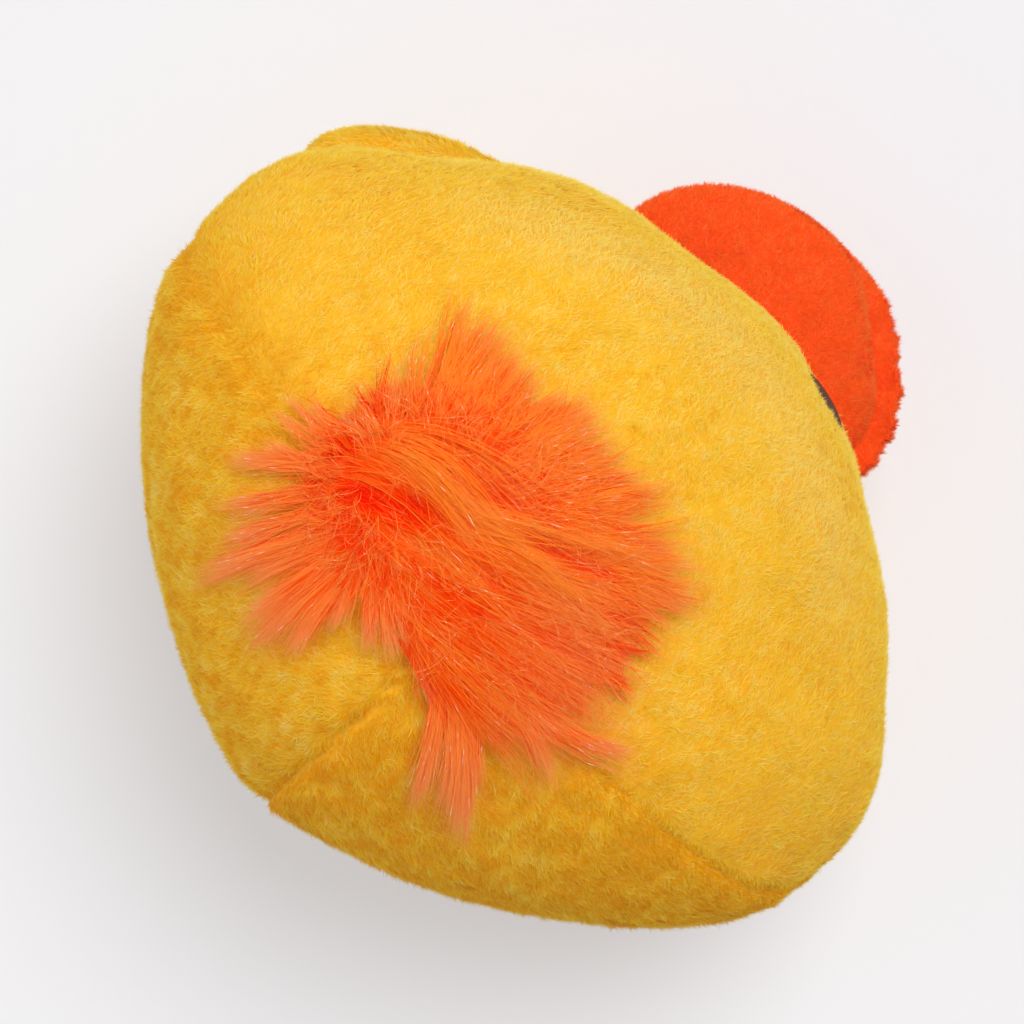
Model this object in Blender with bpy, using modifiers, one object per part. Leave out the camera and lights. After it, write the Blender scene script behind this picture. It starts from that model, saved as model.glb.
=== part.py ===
"""Plush duck toy: a round stuffed body of four sewn panels, a padded fleece bill with a
ruffled flange, two eyes, two stub wings and a long-pile tuft on the crown.

Metres, +Z up. The origin is on the flat base under the body's widest line, the bill faces
-Y, and the duck's own left is +X.
"""

import math

import bmesh
import bpy
from mathutils import Matrix, Vector

MODEL_NAME = "plush_duck"

# Body, measured over the pile
BODY_WIDTH = 0.1200
FACE_DEPTH = 0.0515
BACK_DEPTH = 0.0432
GIRTH_HEIGHT = 0.053
CROWN_HEIGHT = 0.100
REST_WIDTH = 0.0625
FACE_FULLNESS = 2.0
LEFT_BACK_FULLNESS = 1.52
RIGHT_BACK_FULLNESS = 1.45
DOME_FULLNESS = 2.1
UNDERSIDE_FULLNESS = 2.2

# Where the filling pushes the face panel out at the flanks or slackens it: side, angle in
# front of the side seam, reach to either side of that angle, and push
FLANK_SWELLS = (
    (1, math.radians(20), math.radians(25), 0.0027),
    (-1, math.radians(14), math.radians(20), 0.0015),
    (-1, math.radians(50), math.radians(28), -0.0013),
)

# Seams and cloth
SIDE_SEAM_Y = 0.0065
BACK_SEAM_X = -0.003
BACK_SEAM_LEAD = 0.0144
BASE_SEAM_HEIGHT = 0.008
SEAM_DEPTH = 0.0013
SEAM_REACH = 0.009
PLUSH_THICKNESS = 0.0025
SEAM_GAP = 0.0004
STUFFING_EASE = 0.0008
SEAT_GAP = 0.0003

# Bill, its length from the face and its tuck behind the face
BILL_WIDTH = 0.0486
BILL_LENGTH = 0.0160
BILL_TUCK = 0.0035
BILL_HEIGHT = 0.030
BILL_UPPER_PUFF = 0.0095
BILL_LOWER_PUFF = 0.0075
BILL_FULLNESS = 2.3
BILL_ROLL = math.radians(8)
BILL_DROOP = math.radians(6)
FLANGE_WIDTH = 0.0035
FLANGE_RUFFLE = 0.0005
FLANGE_WAVES = 18
FLEECE_THICKNESS = 0.0012

# Eyes, each in a dimple of the face just over the bill
EYE_WIDTH = 0.0102
EYE_BULGE = 0.0018
EYE_SPREAD = 0.0134
EYE_SINK = 0.0003
RIGHT_EYE_LIFT = 0.002
EYE_DIMPLE = 0.0012
EYE_DIMPLE_REACH = 0.010

# Wings, laid along the flanks from a root beside the face and thicker towards the tip
WING_LENGTH = 0.029
WING_HEIGHT = 0.025
WING_ROOT_THICKNESS = 0.0030
WING_ROOT_AZIMUTH = math.radians(49)
WING_ROOT_HEIGHT = 0.036
WING_STAND_OFF = 0.0004
WING_TAPER = 0.6
LEFT_WING_SWELL = 0.0034
LEFT_WING_DROOP = math.radians(4)
RIGHT_WING_SWELL = 0.0028
RIGHT_WING_DROOP = math.radians(42)

# Tuft
TUFT_WIDTH = 0.062
TUFT_DEPTH = 0.056
TUFT_LOFT = 0.0095
TUFT_TIP_LOFT = 0.0012
TUFT_FORWARD = 0.005
TUFT_LOCKS = 11
TUFT_LOCK_CUT = 0.16
TUFT_PARTING = 0.5
TUFT_RIM_LOFT = 0.0009
TUFT_SINK = 0.0010

# Mesh density, as columns and rows of a sphere
BODY_GRID = (48, 24)
STUFFING_GRID = (32, 16)
BILL_GRID = (72, 16)
BILL_STUFFING_GRID = (32, 16)
EYE_GRID = (24, 10)
WING_GRID = (28, 14)
TUFT_GRID = (TUFT_LOCKS * 6, 14)

# Rows of a body sphere that carry the base seam and the edge of the flat base
BASE_SEAM_LATITUDE = math.radians(-45)
REST_LATITUDE = math.radians(-67.5)
# Row of a bill sphere where the puffed cloth meets the flange
FLANGE_LATITUDE = math.radians(22.5)

PLUSH_YELLOW = (0.98, 0.60, 0.07)
STUFFING_WHITE = (0.90, 0.89, 0.86)
FLEECE_ORANGE = (0.96, 0.12, 0.02)
EYE_BROWN = (0.045, 0.030, 0.028)
TUFT_ORANGE = (0.98, 0.16, 0.03)


def clear_scene():
    for item in list(bpy.data.objects):
        bpy.data.objects.remove(item, do_unlink=True)


def new_collection(name):
    collection = bpy.data.collections.new(name)
    bpy.context.scene.collection.children.link(collection)
    return collection


def new_material(name, colour, roughness):
    material = bpy.data.materials.new(name)
    material.use_nodes = True
    shader = material.node_tree.nodes["Principled BSDF"]
    shader.inputs["Base Color"].default_value = (*colour, 1.0)
    shader.inputs["Roughness"].default_value = roughness
    shader.inputs["Metallic"].default_value = 0.0
    return material


def new_object(name, form, collection, material=None):
    """Makes a smooth-shaded object from a bmesh, which is freed."""
    mesh = bpy.data.meshes.new(name)
    form.to_mesh(mesh)
    form.free()
    mesh.shade_smooth()
    item = bpy.data.objects.new(name, mesh)
    collection.objects.link(item)
    if material:
        mesh.materials.append(material)
    return item


def add_solidify(item, thickness, offset):
    """Gives an open surface its cloth: offset -1 grows inwards and 1 outwards."""
    shell = item.modifiers.new("cloth", "SOLIDIFY")
    shell.thickness = thickness
    shell.offset = offset
    shell.use_quality_normals = True


def add_cut(item, cutter):
    cut = item.modifiers.new("seat", "BOOLEAN")
    cut.operation = "DIFFERENCE"
    cut.solver = "EXACT"
    cut.object = cutter


def sphere(grid):
    ball = bmesh.new()
    bmesh.ops.create_uvsphere(ball, u_segments=grid[0], v_segments=grid[1], radius=1.0)
    return ball


def azimuth_latitude(direction):
    """Angles of a point of the unit sphere, exact on the seams' rows and columns."""
    azimuth = math.atan2(direction.y, direction.x)
    latitude = math.asin(max(-1.0, min(1.0, direction.z)))
    return azimuth, latitude


def signed_power(value, power):
    return math.copysign(abs(value) ** power, value)


def swell(form, distance):
    """Moves a closed form's surface outwards by a distance."""
    form.normal_update()
    moves = [(vertex, vertex.normal * distance) for vertex in form.verts]
    for vertex, move in moves:
        vertex.co += move


# The body's form

PANEL_NAMES = ("face_panel", "back_panel_left", "back_panel_right", "base_panel")


def panel_of(direction):
    latitude = azimuth_latitude(direction)[1]
    if latitude < BASE_SEAM_LATITUDE:
        return "base_panel"
    if direction.y < 0:
        return "face_panel"
    return "back_panel_left" if direction.x > 0 else "back_panel_right"


REST_SHARE = REST_WIDTH / BODY_WIDTH
UNDERSIDE_DROP = GIRTH_HEIGHT / (1 - REST_SHARE**UNDERSIDE_FULLNESS) ** (1 / UNDERSIDE_FULLNESS)


def underside_angle(height):
    """Angle along the underside's curve at which it passes a height."""
    drop = (GIRTH_HEIGHT - height) / UNDERSIDE_DROP
    return math.asin(drop ** (UNDERSIDE_FULLNESS / 2))


def body_ring(latitude):
    """Share of the full girth, and height, of one row of the body."""
    if latitude >= 0:
        share = max(0.0, math.cos(latitude)) ** (2 / DOME_FULLNESS)
        rise = math.sin(latitude) ** (2 / DOME_FULLNESS)
        return share, GIRTH_HEIGHT + (CROWN_HEIGHT - GIRTH_HEIGHT) * rise
    if latitude <= REST_LATITUDE + 1e-4:
        return REST_SHARE * (math.radians(90) + latitude) / (math.radians(90) + REST_LATITUDE), 0.0
    seam_angle = underside_angle(BASE_SEAM_HEIGHT)
    rest_angle = underside_angle(0.0)
    if latitude >= BASE_SEAM_LATITUDE:
        angle = seam_angle * latitude / BASE_SEAM_LATITUDE
    else:
        step = (latitude - BASE_SEAM_LATITUDE) / (REST_LATITUDE - BASE_SEAM_LATITUDE)
        angle = seam_angle + (rest_angle - seam_angle) * step
    share = math.cos(angle) ** (2 / UNDERSIDE_FULLNESS)
    drop = math.sin(angle) ** (2 / UNDERSIDE_FULLNESS)
    return share, GIRTH_HEIGHT - UNDERSIDE_DROP * drop


def back_seam_x(y):
    """The centre-back seam leaves the crown in the middle and then runs to one side."""
    run = (y - SIDE_SEAM_Y) / BACK_SEAM_LEAD
    return BACK_SEAM_X * max(0.0, min(1.0, run))


def girth_shape(x, behind):
    """Fullness and depth of the quarter of the girth that holds a place."""
    if not behind:
        return FACE_FULLNESS, FACE_DEPTH
    return (LEFT_BACK_FULLNESS if x > 0 else RIGHT_BACK_FULLNESS), BACK_DEPTH


def flank_swell(side, azimuth, share):
    """Outward push of the flank at an azimuth in front of the side seam, less up the dome."""
    push = 0.0
    for swell_side, middle, reach, swell in FLANK_SWELLS:
        step = (azimuth - middle) / reach
        if swell_side == side and abs(step) < 1:
            push += swell * math.cos(step * math.pi / 2) ** 2
    push *= share**3
    return side * push * math.cos(azimuth), -push * math.sin(azimuth)


def body_point(direction):
    azimuth, latitude = azimuth_latitude(direction)
    share, height = body_ring(latitude)
    fullness, depth = girth_shape(direction.x, math.sin(azimuth) > 0)
    across = signed_power(math.cos(azimuth), 2 / fullness)
    along = signed_power(math.sin(azimuth), 2 / fullness)
    side = math.copysign(1, direction.x)
    swell_x, swell_y = flank_swell(side, math.atan2(-direction.y, abs(direction.x)), share)
    y = SIDE_SEAM_Y + along * share * depth + swell_y
    x = across * share * BODY_WIDTH / 2 + back_seam_x(y) * (1 - abs(across)) + swell_x
    return Vector((x, y, height))


def seam_distance(point):
    distance = abs(point.z - BASE_SEAM_HEIGHT)
    if point.z > BASE_SEAM_HEIGHT:
        distance = min(distance, abs(point.y - SIDE_SEAM_Y))
        if point.y > SIDE_SEAM_Y:
            distance = min(distance, abs(point.x - back_seam_x(point.y)))
    return distance


def body_form(grid):
    """The closed body, drawn in along its seams and flat where it rests. Its faces carry
    the number of their panel."""
    form = sphere(grid)
    panel = form.faces.layers.int.new("panel")
    for face in form.faces:
        face[panel] = PANEL_NAMES.index(panel_of(face.calc_center_median().normalized()))
    for vertex in form.verts:
        vertex.co = body_point(vertex.co)
    form.normal_update()
    eyes = [face_spot(side * EYE_SPREAD, eye_height(side)) for side in (1, -1)]
    moves = []
    for vertex in form.verts:
        if vertex.co.z > 0:
            seam_slack = max(0.0, 1 - seam_distance(vertex.co) / SEAM_REACH)
            eye_distance = min((vertex.co - eye).length for eye in eyes)
            eye_slack = max(0.0, 1 - eye_distance / EYE_DIMPLE_REACH)
            depth = SEAM_DEPTH * seam_slack**2 + EYE_DIMPLE * eye_slack
            moves.append((vertex, -vertex.normal * depth))
    for vertex, move in moves:
        vertex.co += move
    bmesh.ops.triangulate(form, faces=form.faces[:])
    return form


def dome_share(height):
    """Share of the full girth at a height."""
    if height >= GIRTH_HEIGHT:
        rise = (height - GIRTH_HEIGHT) / (CROWN_HEIGHT - GIRTH_HEIGHT)
        return (1 - rise**DOME_FULLNESS) ** (1 / DOME_FULLNESS)
    drop = (GIRTH_HEIGHT - height) / UNDERSIDE_DROP
    return (1 - drop**UNDERSIDE_FULLNESS) ** (1 / UNDERSIDE_FULLNESS)


def face_spot(x, height):
    """Point of the face at a sideways place and a height."""
    share = dome_share(height)
    across = abs(x) / (share * BODY_WIDTH / 2)
    along = (1 - across**FACE_FULLNESS) ** (1 / FACE_FULLNESS)
    return Vector((x, SIDE_SEAM_Y - along * share * FACE_DEPTH, height))


def flank_spot(side, azimuth, height):
    """Point of the flank at an azimuth in front of the side seam and a height."""
    share = dome_share(height)
    across = signed_power(math.cos(azimuth), 2 / FACE_FULLNESS)
    along = signed_power(math.sin(azimuth), 2 / FACE_FULLNESS)
    swell_x, swell_y = flank_swell(side, azimuth, share)
    x = side * across * share * BODY_WIDTH / 2 + swell_x
    return Vector((x, SIDE_SEAM_Y - along * share * FACE_DEPTH + swell_y, height))


def eye_height(side):
    """Height of an eye's middle, which sits on the bill's top where the bill meets the face."""
    bill_top = BILL_HEIGHT + BILL_UPPER_PUFF + FLEECE_THICKNESS
    lift = RIGHT_EYE_LIFT if side < 0 else 0.0
    return bill_top - EYE_SINK + EYE_WIDTH / 2 + lift


def crown_height(x, y):
    """Height of the dome over a place in plan."""
    fullness, depth = girth_shape(x, y > SIDE_SEAM_Y)
    across = abs(x) / (BODY_WIDTH / 2)
    along = abs(y - SIDE_SEAM_Y) / depth
    share = (across**fullness + along**fullness) ** (1 / fullness)
    rise = (1 - share**DOME_FULLNESS) ** (1 / DOME_FULLNESS)
    return GIRTH_HEIGHT + (CROWN_HEIGHT - GIRTH_HEIGHT) * rise


def seat_frame(spot, beside, above):
    """Axes of a piece that lies on the body: +X along it, +Y out of it, +Z up it."""
    along = (beside - spot).normalized()
    out = along.cross(above - spot).normalized()
    if out.dot(Vector((spot.x, spot.y - SIDE_SEAM_Y, 0.0))) < 0:
        out = -out
    up = along.cross(out).normalized()
    if up.z < 0:
        up = -up
    axes = Matrix((along, out, up)).transposed()
    return Matrix.Translation(spot) @ axes.to_4x4()


# Sewn panels and filling

def inwards_of(edge):
    """Direction across an open surface's edge, along its face."""
    face = edge.link_faces[0]
    run = (edge.verts[1].co - edge.verts[0].co).normalized()
    across = face.calc_center_median() - edge.verts[0].co
    return (across - run * across.dot(run)).normalized()


def ease_edge(form, distance):
    """Draws an open surface's edge back along the surface by a distance, corners mitred."""
    moves = []
    for vertex in form.verts:
        borders = [inwards_of(edge) for edge in vertex.link_edges if edge.is_boundary]
        if len(borders) == 2:
            first, second = borders
            moves.append((vertex, (first + second) * distance / (1 + first.dot(second))))
    for vertex, move in moves:
        vertex.co += move


def make_panel(name, collection, material):
    """One sewn panel: its patch of the body's surface, given the plush's thickness."""
    form = body_form(BODY_GRID)
    panel_number = form.faces.layers.int["panel"]
    others = [face for face in form.faces if PANEL_NAMES[face[panel_number]] != name]
    bmesh.ops.delete(form, geom=others, context="FACES")
    ease_edge(form, SEAM_GAP / 2)
    panel = new_object(name, form, collection, material)
    add_solidify(panel, PLUSH_THICKNESS, -1)
    return panel


def make_stuffing(collection, material):
    form = body_form(STUFFING_GRID)
    swell(form, -(PLUSH_THICKNESS + STUFFING_EASE))
    return new_object("stuffing", form, collection, material)


def make_seat_cutter(collection):
    """The body grown by the seat gap, which shapes the backs of the pieces sewn to it."""
    form = body_form(BODY_GRID)
    swell(form, SEAT_GAP)
    cutter = new_object("body_seat_cutter", form, collection)
    cutter.display_type = "WIRE"
    cutter.hide_render = True
    return cutter


# Bill

def puffed_point(direction, widths, puff, latitude):
    """Point of a puffed cloth half over an oval of half widths."""
    azimuth = azimuth_latitude(direction)[0]
    share = max(0.0, math.cos(latitude)) ** (2 / BILL_FULLNESS)
    rise = signed_power(math.sin(latitude), 2 / BILL_FULLNESS)
    return Vector((
        math.cos(azimuth) * share * widths[0],
        math.sin(azimuth) * share * widths[1],
        rise * puff,
    ))


def bill_half_point(direction, puff):
    """Upper half of the bill: a ruffled flange outside, then the puffed cloth."""
    azimuth, latitude = azimuth_latitude(direction)
    widths = (BILL_WIDTH / 2 - FLANGE_WIDTH, BILL_LENGTH + BILL_TUCK - FLANGE_WIDTH)
    if latitude >= FLANGE_LATITUDE - 1e-4:
        quarter = math.radians(90)
        climb = (latitude - FLANGE_LATITUDE) / (quarter - FLANGE_LATITUDE) * quarter
        return puffed_point(direction, widths, puff, max(0.0, climb))
    edge = 1 - latitude / FLANGE_LATITUDE
    ruffle = FLANGE_RUFFLE * edge * math.sin(FLANGE_WAVES * azimuth)
    return Vector((
        math.cos(azimuth) * (widths[0] + FLANGE_WIDTH * edge),
        math.sin(azimuth) * (widths[1] + FLANGE_WIDTH * edge),
        ruffle,
    ))


def bill_frame():
    """The bill's seam plane: its root inside the face, its tip drooped and one side up."""
    root = face_spot(0.0, BILL_HEIGHT) + Vector((0.0, BILL_TUCK, 0.0))
    place = Matrix.Translation(root)
    return place @ Matrix.Rotation(BILL_DROOP, 4, "X") @ Matrix.Rotation(BILL_ROLL, 4, "Y")


def make_bill_half(name, side, puff, seat, collection, material):
    """A fleece half: side 1 is the upper one and -1 the lower."""
    form = sphere(BILL_GRID)
    hidden = [vertex for vertex in form.verts if vertex.co.z < -1e-4]
    bmesh.ops.delete(form, geom=hidden, context="VERTS")
    for vertex in form.verts:
        point = bill_half_point(vertex.co, puff)
        rise = point.z if vertex.co.z > math.sin(FLANGE_LATITUDE) else side * point.z
        vertex.co = Vector((point.x, point.y, side * (SEAM_GAP / 2 + rise)))
    if side < 0:
        bmesh.ops.reverse_faces(form, faces=form.faces[:])
    half = new_object(name, form, collection, material)
    half.matrix_world = bill_frame()
    add_solidify(half, FLEECE_THICKNESS, 1)
    add_cut(half, seat)
    return half


def make_bill_stuffing(seat, collection, material):
    """The bill's filling, which stops short of the cloth and of the flange."""
    form = sphere(BILL_STUFFING_GRID)
    widths = (
        BILL_WIDTH / 2 - FLANGE_WIDTH - STUFFING_EASE,
        BILL_LENGTH + BILL_TUCK - FLANGE_WIDTH - STUFFING_EASE,
    )
    for vertex in form.verts:
        puff = BILL_UPPER_PUFF if vertex.co.z > 0 else BILL_LOWER_PUFF
        latitude = azimuth_latitude(vertex.co)[1]
        vertex.co = puffed_point(vertex.co, widths, puff - STUFFING_EASE, latitude)
    filling = new_object("bill_stuffing", form, collection, material)
    filling.matrix_world = bill_frame()
    add_cut(filling, seat)
    return filling


# Eyes

def make_eye(name, side, seat, collection, material):
    """A domed patch in its dimple of the face, its back cut to the face's curve."""
    form = sphere(EYE_GRID)
    for vertex in form.verts:
        vertex.co = Vector((
            vertex.co.x * EYE_WIDTH / 2,
            vertex.co.z * EYE_BULGE,
            -vertex.co.y * EYE_WIDTH / 2,
        ))
    x = side * EYE_SPREAD
    height = eye_height(side)
    step = EYE_WIDTH / 4
    beside = face_spot(x + step, height)
    above = face_spot(x, height + step)
    dimple = Matrix.Translation((0.0, -EYE_DIMPLE, 0.0))
    eye = new_object(name, form, collection, material)
    eye.matrix_world = seat_frame(face_spot(x, height), beside, above) @ dimple
    add_cut(eye, seat)
    return eye


# Wings

def wing_point(direction, side, droop, swelling):
    """Point of a padded stub wing: its root in front, its rounded tip trailing behind, and
    its inner side laid along the flank."""
    run = (1 + direction.x) / 2
    taper = 1 - WING_TAPER * (1 - run)
    back = run * WING_LENGTH
    up = direction.z * WING_HEIGHT / 2 * taper
    girth_radius = (BODY_WIDTH / 2 + FACE_DEPTH) / 2
    turn = (back * math.cos(droop) + up * math.sin(droop)) / girth_radius
    height = WING_ROOT_HEIGHT - back * math.sin(droop) + up * math.cos(droop)
    azimuth = WING_ROOT_AZIMUTH - turn
    outwards = Vector((side * math.cos(azimuth), -math.sin(azimuth), 0.0))
    thickness = WING_ROOT_THICKNESS + swelling * run
    loft = WING_STAND_OFF + thickness * (1 + direction.y) / 2
    return flank_spot(side, azimuth, height) + outwards * loft


def make_wing(name, side, droop, swelling, collection, material):
    form = sphere(WING_GRID)
    for vertex in form.verts:
        vertex.co = wing_point(vertex.co, side, droop, swelling)
    if side > 0:
        bmesh.ops.reverse_faces(form, faces=form.faces[:])
    return new_object(name, form, collection, material)


# Tuft

def tuft_point(direction):
    """Point of the fur patch: it hugs the crown below and rises in locks above."""
    azimuth, latitude = azimuth_latitude(direction)
    share = max(0.0, math.cos(latitude))
    lock = 0.5 + 0.5 * math.cos(TUFT_LOCKS * azimuth)
    reach = share * (1 - TUFT_LOCK_CUT * (1 - lock) * share)
    x = math.cos(azimuth) * reach * TUFT_WIDTH / 2
    y = SIDE_SEAM_Y - TUFT_FORWARD + math.sin(azimuth) * reach * TUFT_DEPTH / 2
    height = crown_height(x, y)
    if latitude > 1e-4:
        rise = math.sin(latitude)
        parting = 1 - TUFT_PARTING * (1 - lock) * share**2
        height += TUFT_TIP_LOFT + (TUFT_LOFT - TUFT_TIP_LOFT) * rise * parting
    elif latitude > -1e-4:
        height += TUFT_RIM_LOFT
    else:
        height -= TUFT_SINK
    return Vector((x, y, height))


def make_tuft(seat, collection, material):
    form = sphere(TUFT_GRID)
    for vertex in form.verts:
        vertex.co = tuft_point(vertex.co)
    tuft = new_object("tuft", form, collection, material)
    add_cut(tuft, seat)
    return tuft


def build():
    clear_scene()
    parts = new_collection(MODEL_NAME)
    cutters = new_collection(MODEL_NAME + "_cutters")
    plush = new_material("plush_yellow", PLUSH_YELLOW, 0.9)
    fibre = new_material("fibre_white", STUFFING_WHITE, 1.0)
    fleece = new_material("fleece_orange", FLEECE_ORANGE, 0.9)
    thread = new_material("eye_brown", EYE_BROWN, 0.5)
    fur = new_material("fur_orange", TUFT_ORANGE, 0.8)
    seat = make_seat_cutter(cutters)
    for name in PANEL_NAMES:
        make_panel(name, parts, plush)
    make_stuffing(parts, fibre)
    make_bill_half("bill_upper", 1, BILL_UPPER_PUFF, seat, parts, fleece)
    make_bill_half("bill_lower", -1, BILL_LOWER_PUFF, seat, parts, fleece)
    make_bill_stuffing(seat, parts, fibre)
    make_eye("eye_left", 1, seat, parts, thread)
    make_eye("eye_right", -1, seat, parts, thread)
    make_wing("wing_left", 1, LEFT_WING_DROOP, LEFT_WING_SWELL, parts, plush)
    make_wing("wing_right", -1, RIGHT_WING_DROOP, RIGHT_WING_SWELL, parts, plush)
    make_tuft(seat, parts, fur)


build()
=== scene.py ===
"""Looks of a small plush duck: a stuffed body under short brushed pile, a fleece bill with a
ruffled flange, satin-stitched eyes, stub wings and a tuft of long fur combed over the crown.
"""

import math

import bmesh
import bpy
import numpy as np
from mathutils import Matrix, Vector


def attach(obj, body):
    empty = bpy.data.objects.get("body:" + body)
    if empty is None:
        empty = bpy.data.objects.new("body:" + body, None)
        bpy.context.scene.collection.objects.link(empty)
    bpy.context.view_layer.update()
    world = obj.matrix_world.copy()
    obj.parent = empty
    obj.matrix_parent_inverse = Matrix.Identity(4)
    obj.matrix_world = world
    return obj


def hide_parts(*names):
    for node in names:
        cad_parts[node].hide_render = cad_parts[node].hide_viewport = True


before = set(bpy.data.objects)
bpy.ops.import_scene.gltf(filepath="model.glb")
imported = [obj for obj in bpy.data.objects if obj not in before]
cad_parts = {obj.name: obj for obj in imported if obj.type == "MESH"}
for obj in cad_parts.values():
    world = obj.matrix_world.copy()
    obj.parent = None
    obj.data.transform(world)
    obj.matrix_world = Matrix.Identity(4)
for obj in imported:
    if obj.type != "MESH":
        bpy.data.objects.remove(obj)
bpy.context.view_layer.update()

MM = 0.001

# Body, measured over the pile
BODY_WIDTH = 120 * MM
FACE_DEPTH = 51.5 * MM
BACK_DEPTH = 43.2 * MM
GIRTH_HEIGHT = 53 * MM
CROWN_HEIGHT = 100 * MM
REST_WIDTH = 62.5 * MM
FACE_FULLNESS = 2.0
LEFT_BACK_FULLNESS = 1.52
RIGHT_BACK_FULLNESS = 1.48
DOME_FULLNESS = 2.1
UNDERSIDE_FULLNESS = 2.2
PILE_ALLOWANCE = 0.5 * MM
SEAM_INSET = 0.25 * MM
PANEL_PUFF = 0.6 * MM
REST_LIFT = 0.4 * MM
LOWEST_CLOTH = 0.35 * MM
LOWEST_FIBRE = 0.1 * MM

# Where the filling pushes the flanks out or leaves them slack: side, angle in front of the side
# seam, reach to either side of it, and push
FLANK_SWELLS = (
    (1, math.radians(20), math.radians(25), 2.7 * MM),
    (-1, math.radians(18), math.radians(24), 1.8 * MM),
    (-1, math.radians(50), math.radians(28), -1.3 * MM),
)

# Seams
SIDE_SEAM_Y = 6.5 * MM
RIGHT_SEAM_BEND = 6.0 * MM
BACK_SEAM_X = -3.0 * MM
BACK_SEAM_LEAD = 14.4 * MM
BASE_SEAM_HEIGHT = 8.0 * MM

# Camera: the photograph looks down on the crown, leaning a little towards the face
PHOTO_SIDE = 1024
BODY_MIDDLE_PX = (520.0, 540.0)
PX_PER_MM = 7.4
CAMERA_DISTANCE = 0.80
CAMERA_LEAN = math.radians(7.5)
FORWARD_IN_PHOTO = math.radians(42.0)
SENSOR = 36.0


# Numbers over many points at once

def unit(v):
    return v / np.maximum(np.linalg.norm(v, axis=-1, keepdims=True), 1e-12)


def across(v, n):
    """The part of v that lies in the surface whose normal is n."""
    return v - n * (v * n).sum(-1, keepdims=True)


def fade(x, low, high):
    """0 below low, 1 above high, smooth between."""
    t = np.clip((x - low) / (high - low), 0.0, 1.0)
    return t * t * (3 - 2 * t)


def waves(points, size, seed, count=14):
    """Smooth noise from -1 to 1, about size across."""
    rng = np.random.default_rng(seed)
    out = np.zeros(len(points))
    for _ in range(count):
        way = unit(rng.normal(size=3)) * rng.uniform(0.6, 1.5) * math.pi / size
        out += np.sin(points @ way + rng.uniform(0, 2 * math.pi))
    return out / math.sqrt(count / 2) / 2


def wave_vectors(points, size, seed):
    """Smooth noise for each of three directions."""
    return np.stack([waves(points, size, seed + k) for k in (0, 101, 202)], axis=1)


# Large odd numbers that mix the numbers of a cell into one key
CELL_KEYS = (73856093, 19349663, 83492791)
SEED_KEY = 2654435761


def nearest_locks(points, size, seed):
    """For each point, the middle of the nearest lock of fibres and that lock's own number from 0 to 1."""
    cell = np.floor(points / size).astype(np.int64)
    best = np.full(len(points), np.inf)
    middle = np.zeros_like(points)
    number = np.zeros(len(points))
    for step in np.ndindex(3, 3, 3):
        at = cell + np.array(step) - 1
        key = np.bitwise_xor.reduce(at * CELL_KEYS, axis=1) ^ (seed * SEED_KEY)
        shares = [(((key * (40503 + 2 * k) + k * 9973) >> 7) & 0xFFFF) / 65535.0 for k in range(4)]
        spot = (at + np.stack(shares[:3], axis=1)) * size
        away = ((points - spot) ** 2).sum(1)
        closer = away < best
        best[closer] = away[closer]
        middle[closer] = spot[closer]
        number[closer] = shares[3][closer]
    return middle, number


# Camera

def view_axes():
    """Right, up and towards-the-camera directions of the photograph, in the duck's frame."""
    towards = np.array([0.0, -math.sin(CAMERA_LEAN), math.cos(CAMERA_LEAN)])
    forward = unit(across(np.array([0.0, -1.0, 0.0]), towards))
    left = np.array([1.0, 0.0, 0.0])
    turn_cos, turn_sin = math.cos(FORWARD_IN_PHOTO), math.sin(FORWARD_IN_PHOTO)
    right = turn_cos * forward - turn_sin * left
    up = turn_sin * forward + turn_cos * left
    return right, up, towards


RIGHT, UP, TOWARDS = view_axes()
BODY_MIDDLE = np.array([0.0, 0.0, GIRTH_HEIGHT])
FOCAL_PX = PX_PER_MM / MM * CAMERA_DISTANCE
AIM = (
    BODY_MIDDLE
    + RIGHT * (PHOTO_SIDE / 2 - BODY_MIDDLE_PX[0]) / PX_PER_MM * MM
    + UP * (BODY_MIDDLE_PX[1] - PHOTO_SIDE / 2) / PX_PER_MM * MM
)
EYE_POINT = AIM + TOWARDS * CAMERA_DISTANCE


def make_camera():
    camera = in_scene("camera", bpy.data.cameras.new("camera"))
    camera.data.lens = FOCAL_PX / PHOTO_SIDE * SENSOR
    camera.data.sensor_width = SENSOR
    camera.data.clip_start = 0.01
    camera.data.clip_end = 20.0
    camera.matrix_world = Matrix((
        *[(RIGHT[k], UP[k], TOWARDS[k], EYE_POINT[k]) for k in range(3)],
        (0, 0, 0, 1),
    ))
    bpy.context.scene.camera = camera


def sight(px):
    """Directions from the camera through points of the photograph."""
    px = np.asarray(px, float)
    x = (px[..., 0:1] - PHOTO_SIDE / 2) / FOCAL_PX
    y = (PHOTO_SIDE / 2 - px[..., 1:2]) / FOCAL_PX
    return RIGHT * x + UP * y - TOWARDS


def on_crown(px, lift=0.0):
    """Points of the dome, raised by a lift, that show at points of the photograph."""
    ray = sight(px)
    height = np.full(ray.shape[:-1], CROWN_HEIGHT)
    for _ in range(8):
        at = EYE_POINT + ray * ((height - EYE_POINT[2]) / ray[..., 2])[..., None]
        height = crown_height(at[..., 0], at[..., 1]) + lift
    return at


# The body's form

REST_SHARE = REST_WIDTH / BODY_WIDTH
UNDERSIDE_DROP = GIRTH_HEIGHT / (1 - REST_SHARE**UNDERSIDE_FULLNESS) ** (1 / UNDERSIDE_FULLNESS)


def power(x, p):
    return np.sign(x) * np.abs(x) ** p


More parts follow.
